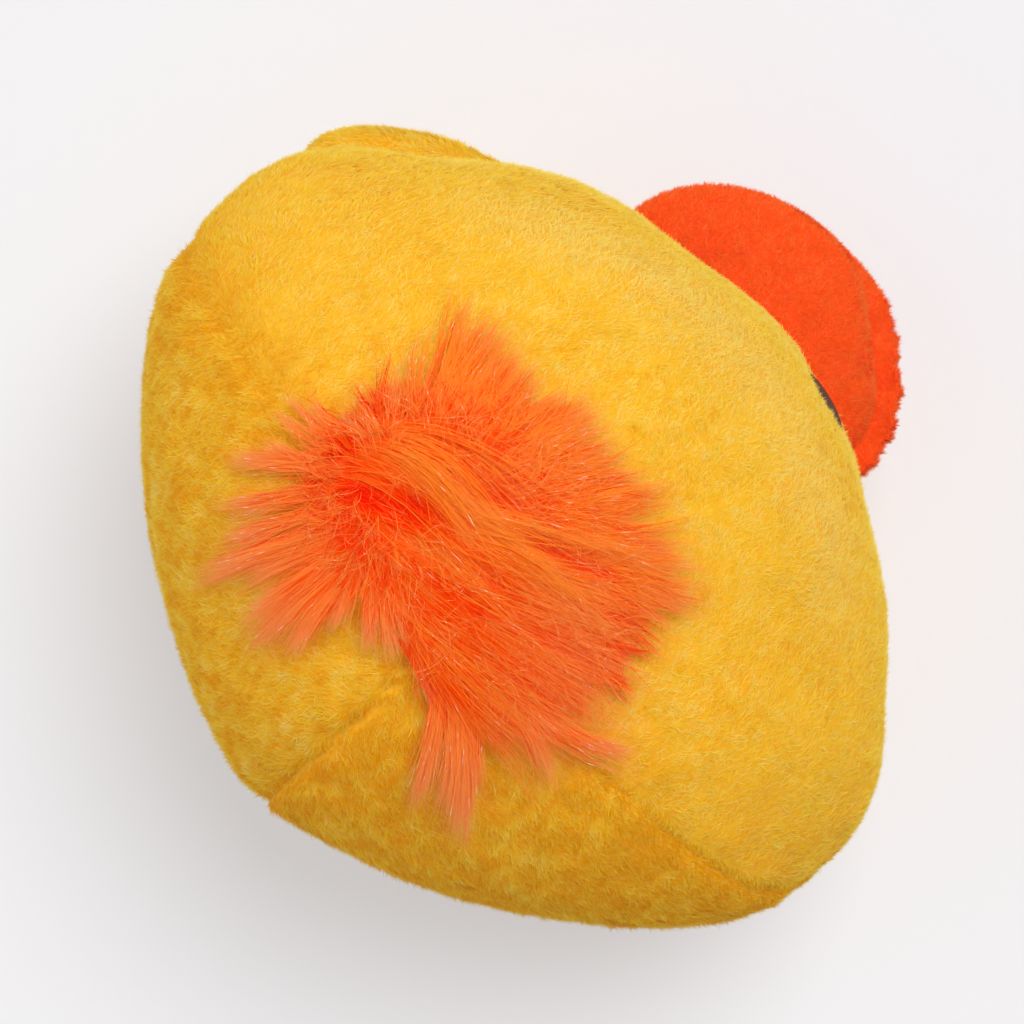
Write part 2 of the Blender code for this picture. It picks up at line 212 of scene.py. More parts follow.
def dome_share(height):
    """Share of the full girth at a height."""
    rise = np.clip((height - GIRTH_HEIGHT) / (CROWN_HEIGHT - GIRTH_HEIGHT), 0, 1)
    drop = np.clip((GIRTH_HEIGHT - height) / UNDERSIDE_DROP, 0, 1)
    over = (1 - rise**DOME_FULLNESS) ** (1 / DOME_FULLNESS)
    under = (1 - drop**UNDERSIDE_FULLNESS) ** (1 / UNDERSIDE_FULLNESS)
    return np.where(np.asarray(height) >= GIRTH_HEIGHT, over, under)


def girth_shape(x, behind):
    """Fullness and depth of the quarters of the girth that hold places in plan."""
    back_fullness = np.where(x > 0, LEFT_BACK_FULLNESS, RIGHT_BACK_FULLNESS)
    return np.where(behind, back_fullness, FACE_FULLNESS), np.where(behind, BACK_DEPTH, FACE_DEPTH)


def flank_swell(side, azimuth, share):
    """Outward push of the flanks at azimuths in front of the side seam, less up the dome."""
    push = np.zeros_like(azimuth)
    for swell_side, middle, reach, swell in FLANK_SWELLS:
        step = np.clip((azimuth - middle) / reach, -1, 1)
        push += np.where(side == swell_side, swell * np.cos(step * math.pi / 2) ** 2, 0.0)
    push = push * share**3
    return np.stack([side * push * np.cos(azimuth), -push * np.sin(azimuth)], axis=1)


def crown_height(x, y):
    """Height of the dome over places in plan."""
    fullness, depth = girth_shape(x, y > SIDE_SEAM_Y)
    a = np.abs(x) / (BODY_WIDTH / 2)
    b = np.abs(y - SIDE_SEAM_Y) / depth
    share = np.clip((a**fullness + b**fullness) ** (1 / fullness), 0, 1)
    rise = (1 - share**DOME_FULLNESS) ** (1 / DOME_FULLNESS)
    return GIRTH_HEIGHT + (CROWN_HEIGHT - GIRTH_HEIGHT) * rise


def body_points(ways):
    """Points of the unpuffed body in the directions of a unit sphere."""
    azimuth = np.arctan2(ways[:, 1], ways[:, 0])
    latitude = np.arcsin(np.clip(ways[:, 2], -1, 1))
    top = latitude >= 0
    share = np.where(
        top,
        np.clip(np.cos(latitude), 0, 1) ** (2 / DOME_FULLNESS),
        np.clip(np.cos(latitude), 0, 1) ** (2 / UNDERSIDE_FULLNESS),
    )
    height = np.where(
        top,
        GIRTH_HEIGHT + (CROWN_HEIGHT - GIRTH_HEIGHT) * np.abs(np.sin(latitude)) ** (2 / DOME_FULLNESS),
        GIRTH_HEIGHT - UNDERSIDE_DROP * np.abs(np.sin(latitude)) ** (2 / UNDERSIDE_FULLNESS),
    )
    fullness, depth = girth_shape(ways[:, 0], np.sin(azimuth) > 0)
    x = power(np.cos(azimuth), 2 / fullness) * share * BODY_WIDTH / 2
    y = SIDE_SEAM_Y + power(np.sin(azimuth), 2 / fullness) * share * depth
    swell = flank_swell(np.sign(ways[:, 0]), np.arctan2(-ways[:, 1], np.abs(ways[:, 0])), share)
    return np.stack([x + swell[:, 0], y + swell[:, 1], np.maximum(height, 0.0)], axis=1)


def side_seam_y(points):
    """Where the side seams run: the right one bends forwards as it goes down."""
    low = 1 - fade(points[:, 2], GIRTH_HEIGHT - 8 * MM, GIRTH_HEIGHT + 34 * MM)
    right = fade(-points[:, 0], 10 * MM, 30 * MM)
    return SIDE_SEAM_Y - RIGHT_SEAM_BEND * low * right


def back_seam_x(y):
    """Where the centre-back seam runs: off the middle, from the crown's middle outwards."""
    return BACK_SEAM_X * np.clip((y - SIDE_SEAM_Y) / BACK_SEAM_LEAD, 0, 1)


def seam_distances(points):
    """Distances from the side seams, the centre-back seam and the base seam."""
    side = np.abs(points[:, 1] - side_seam_y(points))
    back = np.where(
        points[:, 1] > side_seam_y(points), np.abs(points[:, 0] - back_seam_x(points[:, 1])), 1.0
    )
    base = np.abs(points[:, 2] - BASE_SEAM_HEIGHT)
    above = points[:, 2] > BASE_SEAM_HEIGHT - 0.5 * MM
    return np.where(above, side, 1.0), np.where(above, back, 1.0), base


def panel_numbers(points):
    """0 face, 1 left back, 2 right back, 3 base."""
    behind = points[:, 1] > side_seam_y(points)
    left = points[:, 0] > back_seam_x(points[:, 1])
    panel = np.where(behind, np.where(left, 1, 2), 0)
    return np.where(points[:, 2] < BASE_SEAM_HEIGHT, 3, panel)


# Making meshes

def in_scene(name, data):
    thing = bpy.data.objects.new(name, data)
    bpy.context.scene.collection.objects.link(thing)
    return thing


def new_piece(name, points, faces):
    mesh = bpy.data.meshes.new(name)
    mesh.from_pydata(np.asarray(points).tolist(), [], [list(map(int, face)) for face in faces])
    mesh.shade_smooth()
    return in_scene(name, mesh)


def points_of(mesh, what="co"):
    out = np.empty(len(mesh.vertices) * 3)
    mesh.vertices.foreach_get(what, out)
    return out.reshape(-1, 3)


def normals_of(mesh):
    return points_of(mesh, "normal")


def set_points(mesh, points):
    mesh.vertices.foreach_set("co", np.asarray(points, float).ravel())
    mesh.update()


def settled(piece):
    """Applies a piece's modifiers to its mesh."""
    graph = bpy.context.evaluated_depsgraph_get()
    result = bpy.data.meshes.new_from_object(piece.evaluated_get(graph))
    piece.modifiers.clear()
    piece.data = result
    return piece


def subdivided(piece):
    finer = piece.modifiers.new("finer", "SUBSURF")
    finer.levels = finer.render_levels = 1
    return settled(piece)


def round_block(cuts):
    """Points and faces of a cube cut finely and drawn out to a unit ball."""
    form = bmesh.new()
    bmesh.ops.create_cube(form, size=2.0)
    bmesh.ops.subdivide_edges(form, edges=form.edges[:], cuts=cuts, use_grid_fill=True)
    points = np.array([v.co[:] for v in form.verts])
    faces = [[v.index for v in f.verts] for f in form.faces]
    form.free()
    after, last = (np.roll(points**2, -turns, axis=1) for turns in (1, 2))
    return unit(points * np.sqrt(1 - after / 2 - last / 2 + after * last / 3)), faces


CLOTH_SPARE = 0.04
CLOTH_PRESSURE = 40.0
CLOTH_FRAMES = 20


def stuffed(piece, held, most):
    """Swells sewn cloth, cut a little over size, by a cloth simulation: held points stay, and no point
    moves more than most."""
    start = points_of(piece.data)
    pins = piece.vertex_groups.new(name="held")
    pins.add(np.flatnonzero(held).tolist(), 1.0, "REPLACE")
    cloth = piece.modifiers.new("cloth", "CLOTH")
    cloth.settings.quality = 6
    cloth.settings.mass = 0.01
    cloth.settings.tension_stiffness = 2.0
    cloth.settings.compression_stiffness = 2.0
    cloth.settings.shear_stiffness = 0.7
    cloth.settings.bending_stiffness = 0.05
    cloth.settings.shrink_min = -CLOTH_SPARE
    cloth.settings.vertex_group_mass = "held"
    cloth.settings.use_pressure = True
    cloth.settings.uniform_pressure_force = CLOTH_PRESSURE
    cloth.settings.effector_weights.gravity = 0.0
    cloth.point_cache.frame_start = 1
    cloth.point_cache.frame_end = CLOTH_FRAMES
    for step in range(1, CLOTH_FRAMES + 1):
        bpy.context.scene.frame_set(step)
    settled(piece)
    bpy.context.scene.frame_set(1)
    move = points_of(piece.data) - start
    size = np.linalg.norm(move, axis=1, keepdims=True)
    set_points(piece.data, start + move / np.maximum(size, 1e-9) * most * np.tanh(size / most))
    piece.vertex_groups.clear()


# Materials

class Amount:
    """What a node gives out: a number that varies subtracts and multiplies like a plain one."""

    def __init__(self, mixture, socket):
        self.mixture = mixture
        self.socket = socket

    def reckon(self, operation, *values):
        return self.mixture.node("ShaderNodeMath", {"operation": operation}, *values)

    def __sub__(self, other):
        return self.reckon("SUBTRACT", self, other)

    def __rsub__(self, other):
        return self.reckon("SUBTRACT", other, self)

    def __mul__(self, other):
        return self.reckon("MULTIPLY", self, other)

    __rmul__ = __mul__

    def eased(self, low, high):
        """0 below low, 1 above high, smooth between."""
        settings = {"interpolation_type": "SMOOTHSTEP"}
        return self.mixture.node("ShaderNodeMapRange", settings, self, low, high, 0.0, 1.0)


class Mixture:
    """The nodes of a material or of the room, which are all added in one way."""

    def __init__(self, tree):
        self.tree = tree

    def put(self, socket, value):
        """Sets or links a socket. A colour is given as three numbers."""
        if isinstance(value, Amount):
            self.tree.links.new(value.socket, socket)
        else:
            socket.default_value = (*value, 1.0) if socket.type == "RGBA" else value

    def node(self, kind, settings, *values, output=0, **named):
        """A node's output, from its settings and then the values of its inputs in order or by name."""
        made = self.tree.nodes.new(kind)
        for setting, value in settings.items():
            setattr(made, setting, value)
        for socket, value in zip([socket for socket in made.inputs if socket.enabled], values):
            self.put(socket, value)
        for socket, value in named.items():
            self.put(made.inputs[socket], value)
        return Amount(self, made.outputs[output])

    def seen_as(self, target, share, looks, plain):
        """Shows the camera a share of a plain colour in place of the real looks."""
        mixed = self.node("ShaderNodeMixShader", {}, share, Amount(self, looks), plain)
        self.put(self.tree.nodes[target].inputs["Surface"], mixed)

    def camera_rays(self):
        return self.node("ShaderNodeLightPath", {}, output="Is Camera Ray")


class Finish(Mixture):
    """A material, with the nodes that vary it over the surface."""

    def __init__(self, name, roughness, **constants):
        self.material = bpy.data.materials.new(name)
        self.material.use_nodes = True
        super().__init__(self.material.node_tree)
        self.shader = self.tree.nodes["Principled BSDF"]
        for socket, value in {"Roughness": roughness, "Metallic": 0.0, **constants}.items():
            self.put(self.shader.inputs[socket.replace("_", " ")], value)

    def blend(self, share, first, second):
        """Between two colours, by a share."""
        return self.node("ShaderNodeMix", {"data_type": "RGBA"}, share, first, second, output=2)

    def noise(self, where, size, detail=2.0, stretch=None):
        """Cloudy variation from 0 to 1, with patches about size across."""
        if stretch is not None:
            where = self.node("ShaderNodeVectorMath", {"operation": "MULTIPLY"}, where, stretch)
        return self.node("ShaderNodeTexNoise", {}, Vector=where, Scale=0.5 / size, Detail=detail)

    def place(self):
        """The place in the duck's frame."""
        return self.node("ShaderNodeTexCoord", {}, output="Object")

    def fibre_map(self):
        """A fibre's own tone, and how far along it a point is."""
        where = self.node("ShaderNodeUVMap", {"uv_map": FIBRE_MAP})
        return [self.node("ShaderNodeSeparateXYZ", {}, where, output=k) for k in (0, 1)]

    def raise_by(self, height, distance):
        bump = self.node("ShaderNodeBump", {}, Strength=1.0, Distance=distance, Height=height)
        self.put(self.shader.inputs["Normal"], bump)

    def colour(self, value, socket="Base Color"):
        self.put(self.shader.inputs[socket], value)


# The map through which fibres are coloured: across is their tone, and up is how far along they are.
# Fibres of a tone above this hold a painted glint: a painted highlight, near white, at one place along
# them.
FIBRE_MAP = "OFBake"
PAINTED_GLINT_TONE = 0.952
HIGHEST_TONE = 0.94


def fibre_finish(
    name, deep, middle, pale, tip, painted_glint, roughness, sheen,
    painted_root_shade=0.55, tip_share=0.55, tip_from=0.45, glow=0.0, glow_colour=None,
):
    """Fibres from deep to pale by their tone, deeper at the root as painted shade and paler at the tip,
    some with a painted highlight, a glint at a place of their own. A little painted glow stands for the
    light that comes through from the fibres beside."""
    finish = Finish(
        name, roughness,
        Sheen_Weight=sheen, Sheen_Roughness=0.45, Sheen_Tint=pale, Specular_IOR_Level=0.06,
        Emission_Strength=glow,
    )
    tone, along = finish.fibre_map()
    body = finish.blend(tone.eased(0.0, 0.5), deep, middle)
    body = finish.blend(tone.eased(0.5, 0.95), body, pale)
    # Painted shade: each fibre deeper towards its root, where the fibres around it shade it.
    body = finish.blend((1 - along.eased(0.0, 0.6)) * painted_root_shade, body, deep)
    body = finish.blend(along.eased(tip_from, 1.0) * tip_share, body, tip)
    # Painted highlight: a short near-white glint painted into the colour of the palest fibres, at a place
    # set by their tone.
    past = along - (tone * 10.0 - 9.1)
    painted_glint_spot = past.eased(-0.010, 0.0) * (1 - past.eased(0.010, 0.020)) * tone.eased(PAINTED_GLINT_TONE, 0.96)
    finish.colour(finish.blend(painted_glint_spot, body, painted_glint))
    # A painted glow: a little emission, weaker towards the tip, stands for light scattered through the
    # fibres.
    if glow > 0:
        faded = [0.75 * part for part in glow_colour]
        finish.colour(finish.blend(along.eased(0.2, 0.9), glow_colour, faded), "Emission Color")
    return finish.material


def plush_backing(name, deep, middle, pale):
    """The knitted ground under the pile: soft mottling and a felt of tiny hairs."""
    finish = Finish(name, 0.9, Sheen_Weight=0.25, Sheen_Roughness=0.5, Sheen_Tint=pale)
    place = finish.place()
    clouds = finish.noise(place, 6 * MM, 3.0)
    felt = finish.noise(place, 0.5 * MM, stretch=(1.0, 0.35, 1.0))
    body = finish.blend(clouds.eased(0.3, 0.7), deep, middle)
    body = finish.blend(felt.eased(0.45, 0.8) * 0.5, body, pale)
    finish.raise_by(felt, 0.4 * MM)
    finish.colour(body)
    return finish.material


def fleece_ground(name, deep, middle, pale):
    """Curly fleece: little bright curls on a deeper ground."""
    finish = Finish(name, 0.85, Sheen_Weight=0.35, Sheen_Roughness=0.4, Sheen_Tint=pale)
    place = finish.place()
    clouds = finish.noise(place, 3 * MM, 3.0)
    curls = finish.node("ShaderNodeTexVoronoi", {"feature": "SMOOTH_F1"}, Vector=place, Scale=900.0)
    body = finish.blend(clouds.eased(0.3, 0.7), deep, middle)
    body = finish.blend((1 - curls.eased(0.1, 0.6)) * 0.4, body, pale)
    finish.raise_by(1 - curls, 0.5 * MM)
    finish.colour(body)
    return finish.material


def thread_finish(name, deep, middle, sheen):
    """Glossy embroidery thread, with the twist of its two plies, whose lighter bands are a painted sheen.
    """
    finish = Finish(
        name, 0.38, Sheen_Weight=0.05, Sheen_Roughness=0.3, Sheen_Tint=sheen, Specular_IOR_Level=0.3
    )
    place = finish.place()
    twist = finish.node(
        "ShaderNodeTexWave", {"wave_type": "BANDS", "bands_direction": "DIAGONAL"},
        Vector=place, Scale=900.0, Distortion=1.5,
    )
    strands = finish.noise(place, 0.25 * MM)
    body = finish.blend(strands.eased(0.3, 0.75), deep, middle)
    # Painted sheen: lighter bands of the sheen colour along the twist.
    body = finish.blend(twist.eased(0.4, 0.9) * 0.35, body, sheen)
    finish.raise_by(twist, 0.08 * MM)
    finish.colour(body)
    return finish.material


# Fibres

def scatter(mesh, count, seed, wanted=None):
    """Random places on a mesh, evenly by area: points and smooth normals."""
    mesh.calc_loop_triangles()
    corners = np.empty(len(mesh.loop_triangles) * 3, np.int64)
    mesh.loop_triangles.foreach_get("vertices", corners)
    corners = corners.reshape(-1, 3)
    spots, ups = points_of(mesh), normals_of(mesh)
    a, b, c = (spots[corners[:, k]] for k in range(3))
    area = np.linalg.norm(np.cross(b - a, c - a), axis=1) / 2
    if wanted is not None:
        area = area * wanted((a + b + c) / 3)
    rng = np.random.default_rng(seed)
    chosen = np.searchsorted(np.cumsum(area) / area.sum(), rng.random(count)).clip(0, len(area) - 1)
    u, v = rng.random(count), rng.random(count)
    fold = u + v > 1
    u[fold], v[fold] = 1 - u[fold], 1 - v[fold]
    shares = np.stack([1 - u - v, u, v], axis=1)[:, :, None]
    points = (spots[corners[chosen]] * shares).sum(1)
    normals = unit((ups[corners[chosen]] * shares).sum(1))
    return points, normals


# Share of a fibre's shading that it takes from the surface that it lies on
SHADED_AS_SURFACE = 0.88
FIBRE_MAP_HALF_WIDTH = 0.002


def lay_fibres(name, spines, normals, widths, tones, finish, seed, roll):
    """One piece of many flat fibres. Each spine is a row of points from root to tip; a fibre narrows to
    its tip, and is shaded mostly as the surface that it lies on."""
    count, rows = spines.shape[:2]
    rng = np.random.default_rng(seed)
    along = unit(np.gradient(spines, axis=1))
    out = np.broadcast_to(normals[:, None, :] if normals.ndim == 2 else normals, spines.shape)
    side = unit(np.cross(along, out))
    facing = np.cross(side, along)
    turn = rng.normal(0.0, roll, count).clip(-1.2, 1.2)[:, None, None]
    side, facing = side * np.cos(turn) + facing * np.sin(turn), facing * np.cos(turn) - side * np.sin(turn)
    t = np.linspace(0, 1, rows)
    spines = np.concatenate([spines[..., :2], np.maximum(spines[..., 2:], LOWEST_FIBRE)], axis=2)
    half = (widths[:, None] * (1 - t**3) / 2)[:, :, None]
    body_rows = rows - 1
    points = np.empty((count, 2 * body_rows + 1, 3))
    points[:, 0:-1:2] = (spines - side * half)[:, :-1]
    points[:, 1:-1:2] = (spines + side * half)[:, :-1]
    points[:, -1] = spines[:, -1]
    shade = unit(out * SHADED_AS_SURFACE + facing * (1 - SHADED_AS_SURFACE))
    shading = np.concatenate([np.repeat(shade[:, :-1], 2, axis=1), shade[:, -1:]], axis=1)

    # Four-sided faces up the fibre, and a three-sided one at its tip
    corner_rows = [2 * k + corner for k in range(body_rows - 1) for corner in (0, 1, 3, 2)]
    corner_rows = np.array(corner_rows + [2 * body_rows - 2, 2 * body_rows - 1, 2 * body_rows])
    base = np.arange(count)[:, None] * (2 * body_rows + 1)
    corners = (base + corner_rows).ravel().astype(np.int32)
    sides = np.tile([4] * (body_rows - 1) + [3], count)
    starts = np.concatenate([[0], np.cumsum(sides)[:-1]]).astype(np.int32)

    mesh = bpy.data.meshes.new(name)
    mesh.vertices.add(points.shape[0] * points.shape[1])
    mesh.vertices.foreach_set("co", points.ravel())
    mesh.loops.add(len(corners))
    mesh.loops.foreach_set("vertex_index", corners)
    mesh.polygons.add(len(sides))
    mesh.polygons.foreach_set("loop_start", starts)
    mesh.update(calc_edges=True)
    mesh.shade_smooth()
    mesh.normals_split_custom_set_from_vertices(shading.reshape(-1, 3).astype(np.float32))

    tones = np.broadcast_to(tones.reshape(count, -1), (count, rows))
    tones = np.concatenate([np.repeat(tones[:, :-1], 2, axis=1), tones[:, -1:]], axis=1)
    edge = FIBRE_MAP_HALF_WIDTH
    u = np.clip(tones, edge, 1 - edge) + np.append(np.tile([-edge, edge], body_rows), 0.0)
    v = np.broadcast_to(np.append(np.repeat(t[:-1], 2), 1.0), u.shape)
    flat = np.stack([u, v], axis=2)[:, corner_rows].reshape(-1)
    layer = mesh.uv_layers.new(name=FIBRE_MAP)
    layer.data.foreach_set("uv", flat.astype(np.float32))
    mesh.materials.append(finish)
    return in_scene(name, mesh)


# How far the pile is turned: by small and large ripples, and to the sky, which keeps its edges light
SMALL_RIPPLE = 0.14
LARGE_RIPPLE = 0.05
SKYWARD = np.array([0.0, 0.0, 0.22])
GATHER = 0.30
PILE_WIDTH = 0.125 * MM


def fewer(count):
    return count


def wider(width):
    return width * 1.0


def brushed_pile(
    name, points, normals, nap, length, width, lean, tones, finish, seed, lock=0.9 * MM, mess=0.6
):
    """Short straight pile, leaning along the nap, drawn together in small locks."""
    rng = np.random.default_rng(seed)
    count = len(points)
    nap = unit(across(nap, normals))
    ripple = wave_vectors(points, 1.4 * MM, seed + 5) * SMALL_RIPPLE
    ripple = ripple + wave_vectors(points, 4.5 * MM, seed + 6) * LARGE_RIPPLE
    normals = unit(normals + across(ripple, normals) + SKYWARD)
    beside = np.cross(normals, nap)
    turn = waves(points, 9 * MM, seed + 1) * 0.45 + waves(points, 2.4 * MM, seed + 2) * 0.5
    turn = turn + rng.normal(0, mess, count)
    flat = nap * np.cos(turn)[:, None] + beside * np.sin(turn)[:, None]
    tilt = np.clip(lean + rng.normal(0, 0.09, count) + waves(points, 2.2 * MM, seed + 3) * 0.06, 0.3, 1.48)
    ways = flat * np.sin(tilt)[:, None] + normals * np.cos(tilt)[:, None]
    reach = length * rng.uniform(0.6, 1.25, count)
    tips = points + ways * reach[:, None]
    middle, number = nearest_locks(points + flat * reach[:, None] * 0.6, lock, seed)
    tips = tips + across(middle - tips, normals) * GATHER
    spines = np.stack([points, tips], axis=1)
    tones = tones + (number - 0.5) * 0.12 + rng.normal(0, 0.13, count) + 0.4 * (rng.random(count) < 0.12)
    tones = np.clip(tones, 0, HIGHEST_TONE)
    widths = width * rng.uniform(0.7, 1.25, count)
    return lay_fibres(name, spines, normals, widths, tones, finish, seed + 9, roll=0.28)


# Body: four sewn panels over the stuffing

SEAM_DEPTH = 0.7 * MM
SEAM_HALF_WIDTH = 0.65 * MM
STITCH_PITCH = 1.6 * MM
VALLEY_DEPTH = 0.45 * MM
VALLEY_HALF_WIDTH = 5.0 * MM
LARGE_LUMPS = 0.5 * MM
SMALL_LUMPS = 0.18 * MM
EYE_SPREAD = 13.4 * MM
EYE_WIDTH = 10.2 * MM
EYE_DIMPLES = {1: 2.2 * MM, -1: 0.9 * MM}
EYE_BULGE = 0.9 * MM
EYE_SINK = 2.9 * MM
RIGHT_EYE_LIFT = 4.0 * MM


def up_dome(points):
    """0 on the flanks, 1 near the crown."""
    return fade(points[:, 2], 50 * MM, 78 * MM)


def near(distance, reach):
    """1 at no distance, falling to nothing a few reaches away."""
    return np.exp(-((distance / reach) ** 2))


def seam_fall(points):
    """How far the cloth is drawn in at its seams."""
    side, back, base = seam_distances(points)
    fall = np.zeros(len(points))
    side_depth = 0.75 - 0.6 * fade(points[:, 0], 4 * MM, 18 * MM)
    for distance, depth, width in ((side, side_depth, 1.0), (back, 1.8, 0.75), (base, 0.8, 1.0)):
        fall = np.maximum(fall, depth * near(distance, width * SEAM_HALF_WIDTH))
    valley = np.maximum(
        near(side, VALLEY_HALF_WIDTH) * 1.6 * fade(points[:, 0], 6 * MM, 22 * MM),
        near(back, VALLEY_HALF_WIDTH) * 0.45,
    )
    stitches = 0.85 + 0.15 * np.cos((points[:, 0] + points[:, 1]) * 2 * math.pi / STITCH_PITCH)
    height = np.where(base < 4 * MM, 1.0, 0.25 + 0.75 * up_dome(points))
    return (fall * SEAM_DEPTH * stitches + valley * VALLEY_DEPTH * (base > 4 * MM)) * height


def make_body(backing):
    """The sewn skin, swelled between its seams, then drawn in at the seams and under the eyes."""
    ways, faces = round_block(30)
    start = body_points(ways)
    body = new_piece("body", start, faces)
    ups = normals_of(body.data)
    resting = start[:, 2] < REST_LIFT
    distances = np.min(np.stack(seam_distances(start)), axis=0)
    seam_inset = SEAM_INSET * up_dome(start)
    inset = PILE_ALLOWANCE + seam_inset + (PANEL_PUFF - seam_inset) * fade(distances, 0.0, 9 * MM)
    inset = inset * fade(start[:, 2], 0.0, 3 * MM)
    set_points(body.data, start - ups * inset[:, None] + np.outer(resting, [0, 0, REST_LIFT]))
    held = (distances < 1.6 * MM) | resting
    stuffed(body, held, PANEL_PUFF)
    subdivided(body)
    points, ups = points_of(body.data), normals_of(body.data)
    fall = seam_fall(points)
    for side in (1, -1):
        from_eye = np.linalg.norm(points - eye_spot(side), axis=1)
        fall = fall + EYE_DIMPLES[side] * (1 - fade(from_eye, 3 * MM, 7.5 * MM))
    lumps = waves(points, 16 * MM, 5) * LARGE_LUMPS + waves(points, 5 * MM, 6) * SMALL_LUMPS
    lift = np.where(points[:, 2] > 1.2 * MM, lumps - fall, 0.0)
    points = points + ups * lift[:, None]
    points[:, 2] = np.maximum(points[:, 2], LOWEST_CLOTH)
    set_points(body.data, points)
    body.data.materials.append(backing)
    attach(body, "root")
    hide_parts("face_panel", "back_panel_left", "back_panel_right", "base_panel", "stuffing")
    return body


def face_spot(x, height):
    """Point of the face at a sideways place and a height."""
    share = dome_share(height)
    over = abs(x) / (share * BODY_WIDTH / 2)
    along = (1 - over**FACE_FULLNESS) ** (1 / FACE_FULLNESS)
    return np.array([x, SIDE_SEAM_Y - along * share * FACE_DEPTH, height])


def eye_height(side):
    """The eyes sit just over the bill, the right one higher."""
    bill_top = BILL_HEIGHT + BILL_UPPER_PUFF + FLEECE_THICKNESS
    lift = RIGHT_EYE_LIFT if side < 0 else 0.0
    return bill_top - EYE_SINK + EYE_WIDTH / 2 + lift


def eye_spot(side):
    return face_spot(side * EYE_SPREAD, eye_height(side))


# The pile of each panel, in the order of the panels' numbers: its piece, how many fibres, its tone (deeper
# on the back panels and base as painted shade), which way it was brushed, length of the fibres and size of
# their locks
PANEL_PILES = (
    ("face_pile", 185000, 0.54, (0.05, -1.0, -0.25), 1.55 * MM, 0.9 * MM),
    ("back_pile_left", 90000, 0.34, (0.74, 0.68, -0.1), 1.95 * MM, 1.2 * MM),
    ("back_pile_right", 85000, 0.14, (-1.0, 0.1, -0.1), 1.95 * MM, 1.2 * MM),
    ("base_pile", 10000, 0.30, (1.0, 0.2, 0.0), 1.95 * MM, 1.2 * MM),
)
PANEL_SHADE_TONES = np.array([pile[2] for pile in PANEL_PILES])
PILE_LEAN = 1.28
TUFT_MIDDLE = np.array([0.0, SIDE_SEAM_Y - 3 * MM, CROWN_HEIGHT])


def nap_over(points, panel):
    """Which way the pile of a panel leans, turned over the seams that it covers."""
    side, back, _ = seam_distances(points)
    nap = np.array([PANEL_PILES[panel][3]])
    if panel == 0:
        nap = nap + np.outer(near(side, 2.2 * MM), [0.0, 1.7, 0.0])
    if panel == 1:
        nap = nap + np.outer(near(back, 1.6 * MM), [-1.5, -0.2, 0.0])
    return nap


def pile_tones(points):
    """Mottling of the pile, with painted shade deeper in the seams and valleys and on the back panels, and
    painted sheen paler over the brow and towards the base.
    """
    side, back, _ = seam_distances(points)
    # Painted shade: deeper in the side and back seams, and in the valley by the side seam on the left.
    side_seam = near(side, 1.2 * MM) * (1 - 0.8 * fade(points[:, 0], 8 * MM, 20 * MM))
    seam = np.maximum(side_seam, near(back, 0.8 * MM))
    valley = near(side, 6 * MM) * fade(points[:, 0], 8 * MM, 26 * MM)
    from_tuft = np.linalg.norm(points - TUFT_MIDDLE, axis=1)
    amber = 1 - 0.75 * fade(from_tuft, 34 * MM, 52 * MM) * (points[:, 1] < SIDE_SEAM_Y)
    streaks = np.array([1.0, 0.45, 0.7])
    patches = waves(points * streaks, 0.9 * MM, 31) * 0.18 + waves(points, 2.6 * MM, 32) * 0.13
    patches = patches + waves(points, 6 * MM, 34) * 0.06
    behind_share = np.where(points[:, 1] > SIDE_SEAM_Y, 1.7, 1.1)
    patches = patches * behind_share * (0.55 + 0.45 * fade(points[:, 2], 30 * MM, 70 * MM))
    # Painted sheen: paler over the brow, in a band about the tuft on the face side.
    brow = near(from_tuft - 52 * MM, 7 * MM) * fade(-points[:, 1], 20 * MM, 34 * MM)
    # The panels' own tones, deeper on the back panels and base as painted shade, blend across the side seam
    # on the left.
    behind = fade(points[:, 1] - side_seam_y(points), -4 * MM, 5 * MM)
    blended = PANEL_SHADE_TONES[0] * (1 - behind) + PANEL_SHADE_TONES[1] * behind
    on_left = fade(points[:, 0], 0.0, 6 * MM) * (points[:, 2] > 20 * MM)
    tone = PANEL_SHADE_TONES[panel_numbers(points)] * (1 - on_left) + blended * on_left
    tone = tone + waves(points, 0.8 * MM, 30) * 0.06
    # Painted sheen: paler low on the body, towards the base, where the surface turns away.
    rim = 1 - fade(points[:, 2], 40 * MM, 66 * MM)
    return tone + patches * amber + brow * 0.35 + rim * 0.25 - seam * 0.5 - valley * 0.3


def clothe_body(body, pile):
    """Brushed pile for each panel, kept off the eyes, thin under the tuft and along the back seam."""
    for number, (name, count, _, _, length, lock) in enumerate(PANEL_PILES):

        def wanted(at, number=number):
            share = (panel_numbers(at) == number).astype(float)
            share *= 1 - 0.85 * near(seam_distances(at)[1], 0.35 * MM)
            for side in (1, -1):
                share *= fade(np.linalg.norm(at - eye_spot(side), axis=1), 3.6 * MM, 4.6 * MM)
            return share * (1 - 0.75 * under_tuft(at))

        points, normals = scatter(body.data, fewer(count), 40 + number, wanted)
        piece = brushed_pile(
            name, points, normals, nap_over(points, number), length, wider(PILE_WIDTH), PILE_LEAN,
            pile_tones(points), pile, 400 + 20 * number, lock=lock,
        )
        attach(piece, "root")


# Bill: two fleece halves with a ruffled flange

